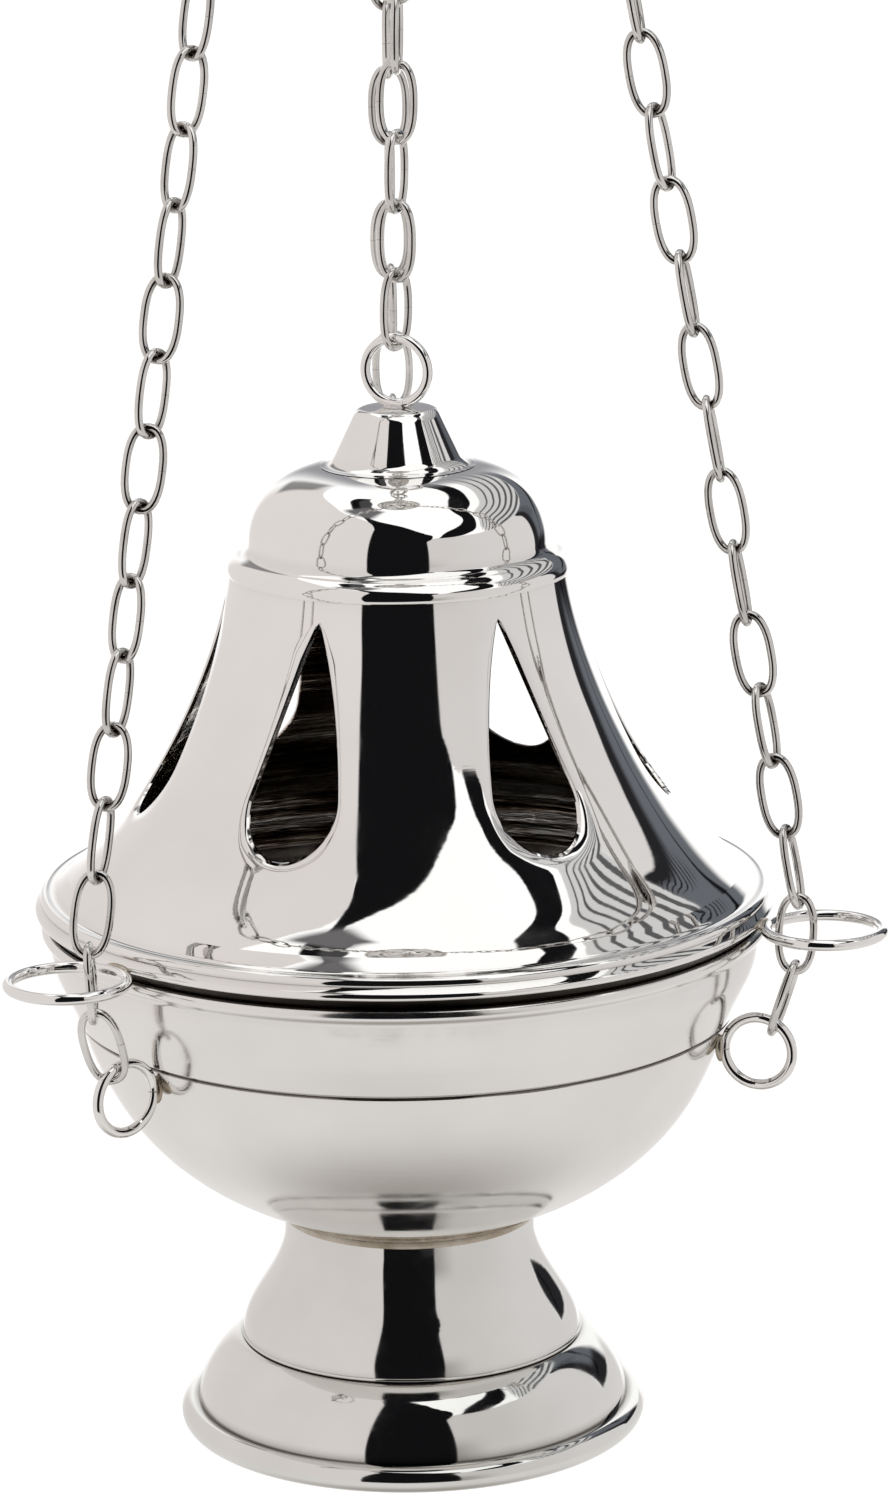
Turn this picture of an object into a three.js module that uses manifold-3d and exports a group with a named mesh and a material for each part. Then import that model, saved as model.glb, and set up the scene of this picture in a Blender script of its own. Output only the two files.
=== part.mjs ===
// Censer (thurible): a spun bowl on a foot, a pierced lid that slides up three outer chains, a lid chain,
// and a cap with a hanging ring. Millimetres; angles in degrees; +Z is up.
// Heights are written above the surface the foot can stand on. The whole is then lowered so that the
// origin lies where a hook bears inside the top of the hanging ring.

import * as THREE from 'three';
import * as BufferGeometryUtils from 'three/addons/utils/BufferGeometryUtils.js';
import Module from 'manifold-3d';

const wasm = await Module();
wasm.setup();

// Fits and facets
const wall = 1.0;               // thickness of the spun shells
const seatGap = 0.3;            // between pieces that touch
const turnSteps = 28;           // facets round a spun shell
const curveSteps = 3;           // straight runs along a short curved stretch of outline
const longCurveSteps = 5;
const beadSteps = 2;            // straight runs along a small bead
const rimSteps = 4;
const ringSteps = 16;           // facets round a wire ring
const eyeSteps = 12;
const wireSides = 6;            // facets round a ring's wire
const rodSides = 8;
const quarterTurn = 90;
const mergeWithin = 0.0001;     // points nearer than this are one point
const drillPast = 1.0;          // a drill runs this far past the faces it cuts

// Foot
const footRimRadius = 44.7;
const footBead = 2.6;           // radius of the rolled rim
const footBaseFlat = 1.4;       // width of the flat it stands on
const footSkirtInset = 3.4;     // rim to the bottom of the skirt
const footSkirtBase = 5.0;
const footStepHeight = 18.0;
const footStepRadius = 32.5;
const footStepLip = 0.8;
const footNeckRadius = 24.2;
const footNeckStart = 39.5;     // where the flare ends in the straight neck
const footHeight = 43.2;
const skirtTopPull = 2.6;       // how far the skirt runs out before it turns down
const skirtSidePull = 6.1;
const flarePull = 8.5;          // length of the flare's upright foot
const flareTopPull = 10.5;
const rimTurn = 45;             // where a rolled rim leaves its wall, below the horizontal
const footRimOpening = 20;

// Bowl
const bowlRimRadius = 69.0;
const bowlBead = 1.35;
const bowlDepth = 56.4;         // underside to the centre of the rim bead
const bowlFlatRadius = 24.4;
const bowlUnderPull = 24.9;
const bowlUnderSlope = 19.2;
const bowlSidePull = 16.5;
const bowlSideSlope = 74.2;
const grooveDrop = 17.5;        // rim bead centre to groove
const grooveInset = 6.7;        // rim edge to groove
const grooveWidth = 1.0;
const grooveDepth = 0.5;
const bandDrop = 7.3;           // rim bead centre to the lower edge of the upright band
const bandInset = 2.0;
const bandLipDrop = 4.7;
const bandLipInset = 1.45;

// Lid
const rimOverhang = 1.05;       // lid rim past the bowl's rim
const lidBead = 0.85;
const lidUpperBead = 1.1;
const lidBeadStep = 1.3;        // lower bead centre inward to the upper one
const lidBeadRise = 2.1;
const lidBeadEnd = 60;
const upperBeadEnds = [-15, 105];
const rimGap = 1.75;            // dark gap between the bowl's bead and the lid's
const spigotDrop = 3.0;         // depth of the locating ring in the bowl's mouth
const spigotPlay = 0.45;
const spigotWall = 0.9;
const ledgeWidth = 2.1;
const collarInset = 3.75;
const collarRise = 3.2;         // lower bead centre to the collar's lower edge
const bellInset = 6.45;
const bellBase = 5.7;           // lower bead centre to the foot of the bell
const bellHeight = 57.6;
const bellFootPull = 13.9;
const bellFootSlope = 26.9;
const bellTopPull = 19.5;
const bellTopSlope = 83.3;
const shoulderRadius = 32.1;
const shoulderBulge = 0.5;
const shoulderHeight = 1.7;
const shoulderFall = 0.9;       // rounding at the shoulder's outer corner
const ledgeRise = 3.6;          // shoulder corner up to the dome
const domeRadius = 28.4;
const domeHeight = 15.0;
const domeSidePull = 8.4;
const domeTopPull = 10.7;
const neckBaseRadius = 12.2;
const neckHeight = 9.1;
const neckTopRadius = 8.3;
const neckRound = 1.1;
const neckRoundStart = 20;

// Smoke holes: six teardrops in the bell, spaced by hand
const holeAzimuths = [-117, -57, 2, 61, 129, 186];
const holeBottom = 18.6;        // lower bead centre to the lowest point
const holeLength = 40.5;
const holeRadius = 8.7;
const holeLean = 12.6;
const holeSide = 18.4;          // length of the upright end of each side

// Rings on the bowl and lid
const chainAzimuths = { left: -138.0, right: -19.3, back: 90.7 };
const guideRingOuter = 11.8;
const guideRingWire = 2.2;
const guideRingDrop = 0.5;      // below the lid's lower bead centre
const bowlRingOuter = 7.5;
const bowlRingWire = 2.0;
const bowlRingDrop = 20.9;      // rim bead centre to ring centre
const lidRingOuter = 7.1;
const lidRingWire = 1.9;
const lidRingTurn = 20;
const braze = 1.0;              // height of the brazed base under the lid ring
const brazeRadius = 2.4;

// Chains
const linkLength = 16.4;
const linkWidth = 8.1;
const linkWire = 1.6;
const linkSides = 4;
const linkSteps = 8;
const linkBite = 0.3;           // depth by which the links of one fused run bear into each other
const linkPlay = 0.3;           // between two links that move or stand apart
const upperLinkCount = 20;      // links of an outer chain from the bend to the cap
const lidLinkCount = 15;
const bowlHookAngle = 60;       // where the bottom link bears on its ring, above the horizontal
const bottomLinkLean = 18;
const secondLinkLean = 3.5;
const chainTwist = { left: 45, right: 0, back: 0 };

// Cap
const capHoleCircle = 28;
const capRadius = 34;
const capThickness = 1.6;
const capSkirt = 4.5;
const capCrownRadius = 24.5;
const capCrownRound = 7;
const chainEyeRadius = 3.2;     // to the middle of the wire
const chainEyeWire = 1.8;
const eyeCollar = 0.5;
const shankPlay = 0.3;
const chainShank = 1.2;
const rivetHead = 1.0;
const rivetOverlap = 1.0;       // rivet head past its shank
const lidChainReach = [3.6, -10.4];
const chainHolePlay = 0.8;
const lidLift = 40;             // travel of the lid
const liftRingOuter = 10;
const liftRingWire = 1.9;
const hangEyeRadius = 4.6;
const hangEyeWire = 2.4;
const hangShank = 1.5;
const hangEyeCollar = 1.2;
const hangRingOuter = 18;
const hangRingWire = 2.8;

// Charcoal pan
const panBaseRadius = 26;
const panMouthRadius = 39;
const panHeight = 22;
const panWall = 0.9;
const panLip = 1.6;

// Levels that pieces share
const bowlBottom = footHeight + seatGap;
const bowlRimLevel = bowlBottom + bowlDepth;
const bowlRimTop = bowlRimLevel + bowlBead;
const lidRimLevel = bowlRimTop + rimGap + lidBead;
const lidRimRadius = bowlRimRadius + rimOverhang;
const shoulderLevel = lidRimLevel + bellBase + bellHeight;
const domeLevel = shoulderLevel + shoulderHeight + ledgeRise;
const lidTop = domeLevel + domeHeight;
const neckBottom = lidTop + seatGap;
const neckTop = neckBottom + neckHeight;
const lidRingBottom = neckTop + seatGap + braze / 2;
const lidRingRadius = lidRingOuter - lidRingWire / 2;
const lidRingLevel = lidRingBottom + lidRingOuter;
const lidHook = lidRingLevel + lidRingRadius;

const nickel = new THREE.MeshStandardMaterial({ color: 0xdad7d2, metalness: 1, roughness: 0.1 });
const satinNickel = new THREE.MeshStandardMaterial({ color: 0xd6d3cd, metalness: 1, roughness: 0.25 });
const chainNickel = new THREE.MeshStandardMaterial({ color: 0xc9c5bf, metalness: 1, roughness: 0.3 });
const panSteel = new THREE.MeshStandardMaterial({ color: 0x6f6a64, metalness: 1, roughness: 0.5 });

function radians(degrees) {
  return THREE.MathUtils.degToRad(degrees);
}

function sine(degrees) {
  return Math.sin(radians(degrees));
}

function cosine(degrees) {
  return Math.cos(radians(degrees));
}

function point(radius, height) {
  return new THREE.Vector2(radius, height);
}

// The points of an arc in the plane of radius and height
function arc(radius, height, size, start, end, steps) {
  const points = [];
  for (let i = 0; i <= steps; i += 1) {
    const angle = start + ((end - start) * i) / steps;
    points.push(point(radius + size * cosine(angle), height + size * sine(angle)));
  }
  return points;
}

// A step of a given length at a given slope
function reach(length, slope) {
  return point(length * cosine(slope), length * sine(slope));
}

function curve(from, fromPull, toPull, to, steps = curveSteps) {
  return new THREE.CubicBezierCurve(from, fromPull, toPull, to).getPoints(steps);
}

// A line of points moved sideways by a distance, to the left of its direction
function offset(points, distance) {
  return points.map((here, i) => {
    const before = points[Math.max(i - 1, 0)];
    const after = points[Math.min(i + 1, points.length - 1)];
    const along = after.clone().sub(before).normalize();
    return point(here.x - along.y * distance, here.y + along.x * distance);
  });
}

// Turns a closed outline about the Z axis; the outline runs up its outside and down its inside
function turned(outline, steps = turnSteps) {
  const geometry = new THREE.LatheGeometry([...outline, outline[0].clone()], steps);
  geometry.rotateX(Math.PI / 2);
  return geometry;
}

function solid(geometry) {
  const plain = geometry.index ? geometry.clone() : geometry;
  plain.deleteAttribute('normal');
  plain.deleteAttribute('uv');
  const merged = BufferGeometryUtils.mergeVertices(plain, mergeWithin);
  return new wasm.Manifold(new wasm.Mesh({
    numProp: 3,
    vertProperties: new Float32Array(merged.attributes.position.array),
    triVerts: new Uint32Array(merged.index.array),
  }));
}

function geometryOf(body) {
  const mesh = body.getMesh();
  const geometry = new THREE.BufferGeometry();
  geometry.setAttribute('position', new THREE.BufferAttribute(mesh.vertProperties, 3));
  geometry.setIndex(new THREE.BufferAttribute(mesh.triVerts, 1));
  geometry.computeVertexNormals();
  return geometry;
}

function joined(...geometries) {
  const whole = geometries.map(solid).reduce((sum, next) => sum.add(next));
  return geometryOf(whole);
}

function piece(name, geometry, material) {
  const mesh = new THREE.Mesh(geometry, material);
  mesh.name = name;
  return mesh;
}

// A wire ring lying flat, given its outer radius and its wire's diameter
function wireRing(outer, wire) {
  return new THREE.TorusGeometry(outer - wire / 2, wire / 2, wireSides, ringSteps);
}

// An upright rod along Z
function rod(radius, bottom, top, sides = rodSides) {
  const geometry = new THREE.CylinderGeometry(radius, radius, top - bottom, sides);
  geometry.rotateX(Math.PI / 2);
  geometry.translate(0, 0, (top + bottom) / 2);
  return geometry;
}

// Foot: rolled rim, convex skirt, step, flare and neck, open underneath and under the bowl
function footShell() {
  const beadCentre = footRimRadius - footBead;
  const skirtFoot = footRimRadius - footSkirtInset;
  const skirt = curve(
    point(skirtFoot, footSkirtBase),
    point(skirtFoot, footSkirtBase + skirtSidePull),
    point(footStepRadius + skirtTopPull, footStepHeight),
    point(footStepRadius, footStepHeight),
  );
  const flareStart = footStepHeight + footStepLip;
  const flare = curve(
    point(footStepRadius, flareStart),
    point(footStepRadius, flareStart + flarePull),
    point(footNeckRadius, footNeckStart - flareTopPull),
    point(footNeckRadius, footNeckStart),
  );
  const outside = [
    point(beadCentre + footBaseFlat / 2, 0),
    ...arc(beadCentre, footBead, footBead, -rimTurn, quarterTurn, rimSteps),
    ...skirt,
    ...flare,
    point(footNeckRadius, footHeight),
  ];
  const inside = [
    point(footNeckRadius - wall, footHeight),
    ...offset(flare, wall).reverse(),
    ...offset(skirt, wall).reverse(),
    point(beadCentre - footBead * cosine(footRimOpening), footBead),
    point(beadCentre - footBaseFlat / 2, 0),
  ];
  return turned([...outside, ...inside]);
}

// Bowl: flat under the foot, rounded side, groove, leaning band, upright band and rim bead
function bowlOutline() {
  const beadCentre = bowlRimRadius - bowlBead;
  const grooveRadius = bowlRimRadius - grooveInset;
  const grooveLevel = bowlRimLevel - grooveDrop;
  const side = curve(
    point(bowlFlatRadius, bowlBottom),
    point(bowlFlatRadius, bowlBottom).add(reach(bowlUnderPull, bowlUnderSlope)),
    point(grooveRadius, grooveLevel).sub(reach(bowlSidePull, bowlSideSlope)),
    point(grooveRadius, grooveLevel),
    longCurveSteps,
  );
  const bands = [
    point(bowlRimRadius - bandInset, bowlRimLevel - bandDrop),
    point(bowlRimRadius - bandLipInset, bowlRimLevel - bandLipDrop),
  ];
  return { beadCentre, grooveRadius, grooveLevel, side, bands };
}

function bowlShell() {
  const { beadCentre, grooveRadius, grooveLevel, side, bands } = bowlOutline();
  const outside = [
    point(0, bowlBottom),
    ...side,
    point(grooveRadius - grooveDepth, grooveLevel + grooveWidth / 2),
    point(grooveRadius + grooveDepth, grooveLevel + grooveWidth),
    ...bands,
    point(bowlRimRadius - bandLipInset, bowlRimLevel - bowlBead),
    ...arc(beadCentre, bowlRimLevel, bowlBead, -rimTurn, 2 * quarterTurn, rimSteps),
  ];
  const inside = [
    ...offset(bands, wall).reverse(),
    ...offset(side, wall).reverse(),
    point(0, bowlBottom + wall),
  ];
  return turned([...outside, ...inside]);
}

// Lid: locating ring, two rim beads, collar, bell, shoulder and dome
function lidShell() {
  const lowerBead = lidRimRadius - lidBead;
  const upperBead = lowerBead - lidBeadStep;
  const spigotRadius = bowlRimRadius - 2 * bowlBead - spigotPlay;
  const ledgeLevel = bowlRimTop + seatGap;
  const bellFoot = point(lidRimRadius - bellInset, lidRimLevel + bellBase);
  const bellTop = point(shoulderRadius, shoulderLevel);
  const bell = curve(
    bellFoot,
    bellFoot.clone().add(reach(bellFootPull, 2 * quarterTurn - bellFootSlope)),
    bellTop.clone().add(reach(bellTopPull, -bellTopSlope)),
    bellTop,
    longCurveSteps,
  );
  const dome = curve(
    point(domeRadius, domeLevel),
    point(domeRadius, domeLevel + domeSidePull),
    point(neckBaseRadius + domeTopPull, lidTop - wall),
    point(neckBaseRadius, lidTop),
  );
  const outside = [
    point(spigotRadius, ledgeLevel - spigotDrop),
    point(spigotRadius, ledgeLevel),
    point(spigotRadius + ledgeWidth, ledgeLevel),
    ...arc(lowerBead, lidRimLevel, lidBead, -quarterTurn, lidBeadEnd, beadSteps),
    ...arc(upperBead, lidRimLevel + lidBeadRise, lidUpperBead, ...upperBeadEnds, beadSteps),
    point(lidRimRadius - collarInset, lidRimLevel + collarRise),
    ...bell,
    point(shoulderRadius + shoulderBulge, shoulderLevel + shoulderHeight / 2),
    point(shoulderRadius, shoulderLevel + shoulderHeight),
    point(domeRadius + shoulderFall / 2, domeLevel - shoulderFall / 2),
    ...dome,
    point(0, lidTop),
  ];
  const inside = [
    point(0, lidTop - wall),
    ...offset(dome, wall).reverse(),
    ...offset(bell, wall).reverse(),
    point(spigotRadius - spigotWall, ledgeLevel + wall),
    point(spigotRadius - spigotWall, ledgeLevel - spigotDrop),
  ];
  const shell = solid(turned([...outside, ...inside]));
  let pierced = shell;
  for (const azimuth of holeAzimuths) {
    pierced = pierced.subtract(smokeHole(azimuth));
  }
  return geometryOf(pierced);
}

// A teardrop: pointed above, round below, with slightly swelling sides
function teardrop() {
  const bottom = lidRimLevel + holeBottom;
  const centre = bottom + holeRadius;
  const sideX = holeRadius * cosine(holeLean);
  const sideZ = centre + holeRadius * sine(holeLean);
  const pullX = sideX - holeSide * sine(holeLean);
  const pullZ = sideZ + holeSide * cosine(holeLean);
  const shape = new THREE.Shape();
  shape.moveTo(0, bottom + holeLength);
  shape.quadraticCurveTo(-pullX, pullZ, -sideX, sideZ);
  const arcStart = 2 * quarterTurn - holeLean;
  const arcEnd = 4 * quarterTurn + holeLean;
  shape.absarc(0, centre, holeRadius, radians(arcStart), radians(arcEnd), false);
  shape.quadraticCurveTo(pullX, pullZ, 0, bottom + holeLength);
  return shape;
}

function smokeHole(azimuth) {
  const geometry = new THREE.ExtrudeGeometry(teardrop(), {
    depth: lidRimRadius - shoulderRadius / 2,
    curveSegments: curveSteps,
    bevelEnabled: false,
  });
  geometry.translate(0, 0, shoulderRadius / 2);
  const tangent = new THREE.Vector3(-sine(azimuth), cosine(azimuth), 0);
  const up = new THREE.Vector3(0, 0, 1);
  const outward = new THREE.Vector3(cosine(azimuth), sine(azimuth), 0);
  geometry.applyMatrix4(new THREE.Matrix4().makeBasis(tangent, up, outward));
  return solid(geometry);
}

function lidNeck() {
  return turned([
    point(0, neckBottom),
    point(neckBaseRadius, neckBottom),
    ...arc(neckTopRadius - neckRound, neckTop - neckRound, neckRound, neckRoundStart, quarterTurn, beadSteps),
    point(0, neckTop),
  ], turnSteps / 2);
}

// Upright ring, standing on a small brazed cone on the neck
function lidRing() {
  const ring = wireRing(lidRingOuter, lidRingWire);
  ring.rotateX(Math.PI / 2);
  ring.translate(0, 0, lidRingLevel);
  const base = new THREE.CylinderGeometry(lidRingWire / 2, brazeRadius, 2 * braze, rodSides);
  base.rotateX(Math.PI / 2);
  base.translate(0, 0, neckTop + seatGap + braze);
  const whole = joined(ring, base);
  whole.rotateZ(radians(-lidRingTurn));
  return whole;
}

// An oval link: a ring parted at its middle and drawn out; it lies along Y and is broad along X
function ovalLink() {
  const radius = (linkWidth - linkWire) / 2 / Math.cos(Math.PI / linkSteps);
  const link = new THREE.TorusGeometry(radius, linkWire / 2, linkSides, linkSteps);
  link.rotateZ(Math.PI / linkSteps);
  const stretch = (linkLength - linkWidth) / 2;
  const position = link.attributes.position;
  for (let i = 0; i < position.count; i += 1) {
    position.setY(i, position.getY(i) + Math.sign(position.getY(i)) * stretch);
  }
  return link;
}

// A link at a place, along a direction, with its broad side turned by an angle from a given one
function placedLink(centre, along, broadStart, turn) {
  const side = new THREE.Vector3().crossVectors(along, broadStart).normalize();
  const broad = new THREE.Vector3().crossVectors(side, along).normalize();
  broad.multiplyScalar(cosine(turn)).addScaledVector(side, sine(turn));
  const normal = new THREE.Vector3().crossVectors(broad, along);
  const place = new THREE.Matrix4().makeBasis(broad, along, normal).setPosition(centre);
  return ovalLink().applyMatrix4(place);
}

// From where two wires cross to the middle of the link that bears there
function hookReach(otherWire) {
  return linkLength / 2 - linkWire - otherWire / 2 - seatGap;
}

const linkHalf = linkLength / 2 - linkWire - linkPlay / 2;
const runPitch = linkLength - 2 * linkWire + linkBite;

// The path of an outer chain in its upright plane: x is the distance from the axis
function outerChainPath() {
  const { grooveRadius, grooveLevel } = bowlOutline();
  const ringRadius = bowlRingOuter - bowlRingWire / 2;
  const ringLevel = bowlRimLevel - bowlRingDrop;
  const wallReach = (bowlRingOuter + seatGap + (ringLevel - grooveLevel) * cosine(bowlSideSlope))
    / sine(bowlSideSlope);
  const ringCentre = new THREE.Vector3(grooveRadius + wallReach, 0, ringLevel);
  const hook = new THREE.Vector3(cosine(bowlHookAngle), 0, sine(bowlHookAngle))
    .multiplyScalar(ringRadius).add(ringCentre);
  const bottomAlong = new THREE.Vector3(sine(bottomLinkLean), 0, cosine(bottomLinkLean));
  const secondAlong = new THREE.Vector3(sine(secondLinkLean), 0, cosine(secondLinkLean));
  const bottomCentre = hook.clone().addScaledVector(bottomAlong, hookReach(bowlRingWire));
  const knuckle = bottomCentre.clone().addScaledVector(bottomAlong, linkHalf);
  const secondCentre = knuckle.clone().addScaledVector(secondAlong, linkHalf);
  const bend = secondCentre.clone().addScaledVector(secondAlong, linkHalf);
  const runLength = linkHalf + (upperLinkCount - 1) * runPitch + hookReach(chainEyeWire);
  const runReach = bend.x - capHoleCircle;
  const eyeHook = new THREE.Vector3(capHoleCircle, 0, bend.z + Math.sqrt(runLength ** 2 - runReach ** 2));
  const runAlong = eyeHook.clone().sub(bend).normalize();
  return {
    ringCentre, hook, bottomAlong, secondAlong, bottomCentre, secondCentre, bend, eyeHook, runAlong,
  };
}

const path = outerChainPath();
const tangential = new THREE.Vector3(0, 1, 0);

function bowlRing() {
  const ring = wireRing(bowlRingOuter, bowlRingWire);
  ring.rotateX(Math.PI / 2);
  ring.translate(path.ringCentre.x, 0, path.ringCentre.z);
  return ring;
}

function guideRing() {
  const ring = wireRing(guideRingOuter, guideRingWire);
  ring.translate(lidRimRadius + seatGap + guideRingOuter, 0, lidRimLevel - guideRingDrop);
  return ring;
}

// The run of links from the bend to the cap, borne into each other as one solid
function upperRun(twist) {
  const links = [];
  for (let i = 0; i < upperLinkCount; i += 1) {
    const centre = path.bend.clone().addScaledVector(path.runAlong, linkHalf + i * runPitch);
    const unwound = twist * (1 - (i + 2) / (upperLinkCount + 1));
    links.push(placedLink(centre, path.runAlong, tangential, unwound + quarterTurn * (i % 2)));
  }
  return joined(...links);
}

function chainEyeLevels() {
  const centre = path.eyeHook.z + chainEyeRadius;
  const capUnder = centre + chainEyeRadius + chainEyeWire / 2 + eyeCollar;
  return { centre, capUnder };
}

const { centre: chainEyeLevel, capUnder } = chainEyeLevels();
const capFlangeTop = capUnder + capThickness;

// Lid chain: from the lid ring up to the lift ring on the cap
const lidChainPitch = linkLength - 2 * linkWire - linkPlay;
const lidChainLength = 2 * hookReach(lidRingWire) + (lidLinkCount - 1) * lidChainPitch;
const lidChainSide = Math.hypot(...lidChainReach);
const liftHook = new THREE.Vector3(
  lidChainReach[0],
  lidChainReach[1],
  lidHook + Math.sqrt(lidChainLength ** 2 - lidChainSide ** 2),
);
const lidChainStart = new THREE.Vector3(0, 0, lidHook);
const lidChainAlong = liftHook.clone().sub(lidChainStart).normalize();
const capTop = liftHook.z - liftRingWire / 2 - seatGap;

function lidLink(index) {
  const along = hookReach(lidRingWire) + index * lidChainPitch;
  const centre = lidChainStart.clone().addScaledVector(lidChainAlong, along);
  const sideways = new THREE.Vector3(1, 0, 0);
  const turnAtRing = quarterTurn - lidRingTurn;
  const unwound = turnAtRing + (lidRingTurn * index) / (lidLinkCount - 1);
  return placedLink(centre, lidChainAlong, sideways, unwound + quarterTurn * (index % 2));
}

function liftRing() {
  const ring = wireRing(liftRingOuter, liftRingWire);
  ring.rotateZ(Math.PI / 2);
  ring.translate(liftHook.x, liftHook.y - liftRingOuter + liftRingWire / 2, liftHook.z);
  return ring;
}

// Cap: a spun hat with a flat crown, a flange for the chain eyes and a turned-down edge
function capPlate() {
  const roundRadius = capCrownRadius - capCrownRound;
  const roundLevel = capTop - capCrownRound;
  const crown = arc(roundRadius, roundLevel, capCrownRound, 0, quarterTurn, curveSteps);
  const innerRound = capCrownRound - capThickness;
  const innerCrown = arc(roundRadius, roundLevel, innerRound, quarterTurn, 0, curveSteps);
  const plate = solid(turned([
    point(capRadius - capThickness, capFlangeTop - capSkirt),
    point(capRadius, capFlangeTop - capSkirt),
    point(capRadius, capFlangeTop - capThickness / 2),
    point(capRadius - capThickness / 2, capFlangeTop),
    point(capCrownRadius, capFlangeTop),
    ...crown,
    point(0, capTop),
    point(0, capTop - capThickness),
    ...innerCrown,
    point(capCrownRadius - capThickness, capUnder),
    point(capRadius - capThickness, capUnder),
  ]));
  const crossing = liftHook.clone().addScaledVector(lidChainAlong, -lidLift / 2);
  const drift = (lidLift * lidChainSide) / lidChainLength;
  const drillStart = capTop - capThickness - drillPast;
  const chainHoleRadius = linkWidth / 2 + drift / 2 + chainHolePlay;
  const chainHole = rod(chainHoleRadius, drillStart, capTop + drillPast, turnSteps);
  chainHole.translate(crossing.x, crossing.y, 0);
  let drilled = plate.subtract(solid(chainHole));
  drilled = drilled.subtract(solid(rod(hangShank + shankPlay, drillStart, capTop + drillPast)));
  for (const azimuth of Object.values(chainAzimuths)) {
    const hole = rod(chainShank + shankPlay, capUnder - drillPast, capFlangeTop + drillPast);
    hole.translate(capHoleCircle * cosine(azimuth), capHoleCircle * sine(azimuth), 0);
    drilled = drilled.subtract(solid(hole));
  }
  return geometryOf(drilled);
}

// An upright ring with a collar and a shank that is riveted through the cap
function chainEye() {
  const ring = new THREE.TorusGeometry(chainEyeRadius, chainEyeWire / 2, wireSides, eyeSteps);
  ring.rotateY(Math.PI / 2);
  ring.translate(0, 0, chainEyeLevel);
  const ringTop = chainEyeLevel + chainEyeRadius;
  const headBottom = capFlangeTop + seatGap;
  const collar = rod(chainShank + rivetOverlap, ringTop, capUnder - seatGap);
  const shank = rod(chainShank, ringTop, headBottom + rivetHead / 2);
  const head = rod(chainShank + rivetOverlap, headBottom, headBottom + rivetHead);
  const eye = joined(ring, collar, shank, head);
  eye.translate(capHoleCircle, 0, 0);
  return eye;
}

const hangEyeLevel = capTop + seatGap + hangEyeCollar + hangEyeRadius;
const swingLevel = hangEyeLevel + hangEyeRadius;
const hangRingLevel = swingLevel - hangEyeWire / 2 - seatGap - hangRingWire + hangRingOuter;
const hangLevel = hangRingLevel + hangRingOuter - hangRingWire;

function capEye() {
  const ring = new THREE.TorusGeometry(hangEyeRadius, hangEyeWire / 2, wireSides, eyeSteps);
  ring.rotateY(Math.PI / 2);
  ring.translate(0, 0, hangEyeLevel);
  const ringFoot = hangEyeLevel - hangEyeRadius;
  const headTop = capTop - capThickness - seatGap;
  const collar = rod(hangShank + rivetOverlap, capTop + seatGap, ringFoot);
  const shank = rod(hangShank, headTop - rivetHead / 2, ringFoot);
  const head = rod(hangShank + rivetOverlap, headTop - rivetHead, headTop);
  return joined(ring, collar, shank, head);
}

function hangingRing() {
  const ring = wireRing(hangRingOuter, hangRingWire);
  ring.rotateX(Math.PI / 2);
  ring.translate(0, 0, hangRingLevel);
  return ring;
}

// Charcoal pan: a dish with a rolled lip, standing inside the bowl on its rounded side
function charcoalPan() {
  const { side } = bowlOutline();
  const inner = [point(0, bowlBottom + wall), ...offset(side, wall)];
  const next = inner.findIndex((p) => p.x > panBaseRadius);
  const share = (panBaseRadius - inner[next - 1].x) / (inner[next].x - inner[next - 1].x);
  const seat = inner[next - 1].y + share * (inner[next].y - inner[next - 1].y);
  const base = seat + seatGap;
  const mouth = base + panHeight;
  return turned([
    point(0, base),
    point(panBaseRadius, base),
    point(panMouthRadius, mouth - panLip),
    point(panMouthRadius + panLip, mouth - panLip / 2),
    point(panMouthRadius + panLip, mouth),
    point(panMouthRadius - panWall, mouth),
    point(panBaseRadius - panWall / 2, base + panWall),
    point(0, base + panWall),
  ]);
}

// Assembly
const censer = new THREE.Group();
censer.position.z = -hangLevel;

censer.add(piece('hanging_ring', hangingRing(), nickel));

const cap = new THREE.Group();
cap.add(piece('cap_plate', capPlate(), nickel));
cap.add(piece('cap_eye', capEye(), nickel));
censer.add(cap);

const lid = new THREE.Group();
lid.add(piece('lid_shell', lidShell(), nickel));
lid.add(piece('lid_neck', lidNeck(), nickel));
lid.add(piece('lid_ring', lidRing(), nickel));
for (let i = 0; i < lidLinkCount; i += 1) {
  lid.add(piece(`lid_link_${String(i + 1).padStart(2, '0')}`, lidLink(i), chainNickel));
}
lid.add(piece('lift_ring', liftRing(), nickel));
censer.add(lid);

const bowl = new THREE.Group();
bowl.add(piece('bowl_shell', bowlShell(), satinNickel));
bowl.add(piece('foot_shell', footShell(), nickel));
bowl.add(piece('charcoal_pan', charcoalPan(), panSteel));
censer.add(bowl);

for (const [side, azimuth] of Object.entries(chainAzimuths)) {
  const twist = chainTwist[side];
  const plane = new THREE.Group();
  plane.rotation.z = radians(azimuth);
  plane.add(piece(`${side}_bowl_ring`, bowlRing(), nickel));
  plane.add(piece(`${side}_guide_ring`, guideRing(), nickel));
  plane.add(piece(`${side}_chain_eye`, chainEye(), nickel));
  plane.add(piece(
    `${side}_bottom_link`,
    placedLink(path.bottomCentre, path.bottomAlong, tangential, twist),
    chainNickel,
  ));
  plane.add(piece(
    `${side}_second_link`,
    placedLink(path.secondCentre, path.secondAlong, tangential, twist + quarterTurn),
    chainNickel,
  ));
  plane.add(piece(`${side}_chain_run`, upperRun(twist), chainNickel));
  censer.add(plane);
}

export default censer;
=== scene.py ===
"""A nickel-plated church censer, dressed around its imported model. Lengths in the tables are in
millimetres, and levels are above the surface that the foot can stand on."""

import bisect
import math
import random

import bmesh
import bpy
from mathutils import Matrix, Vector


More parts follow.
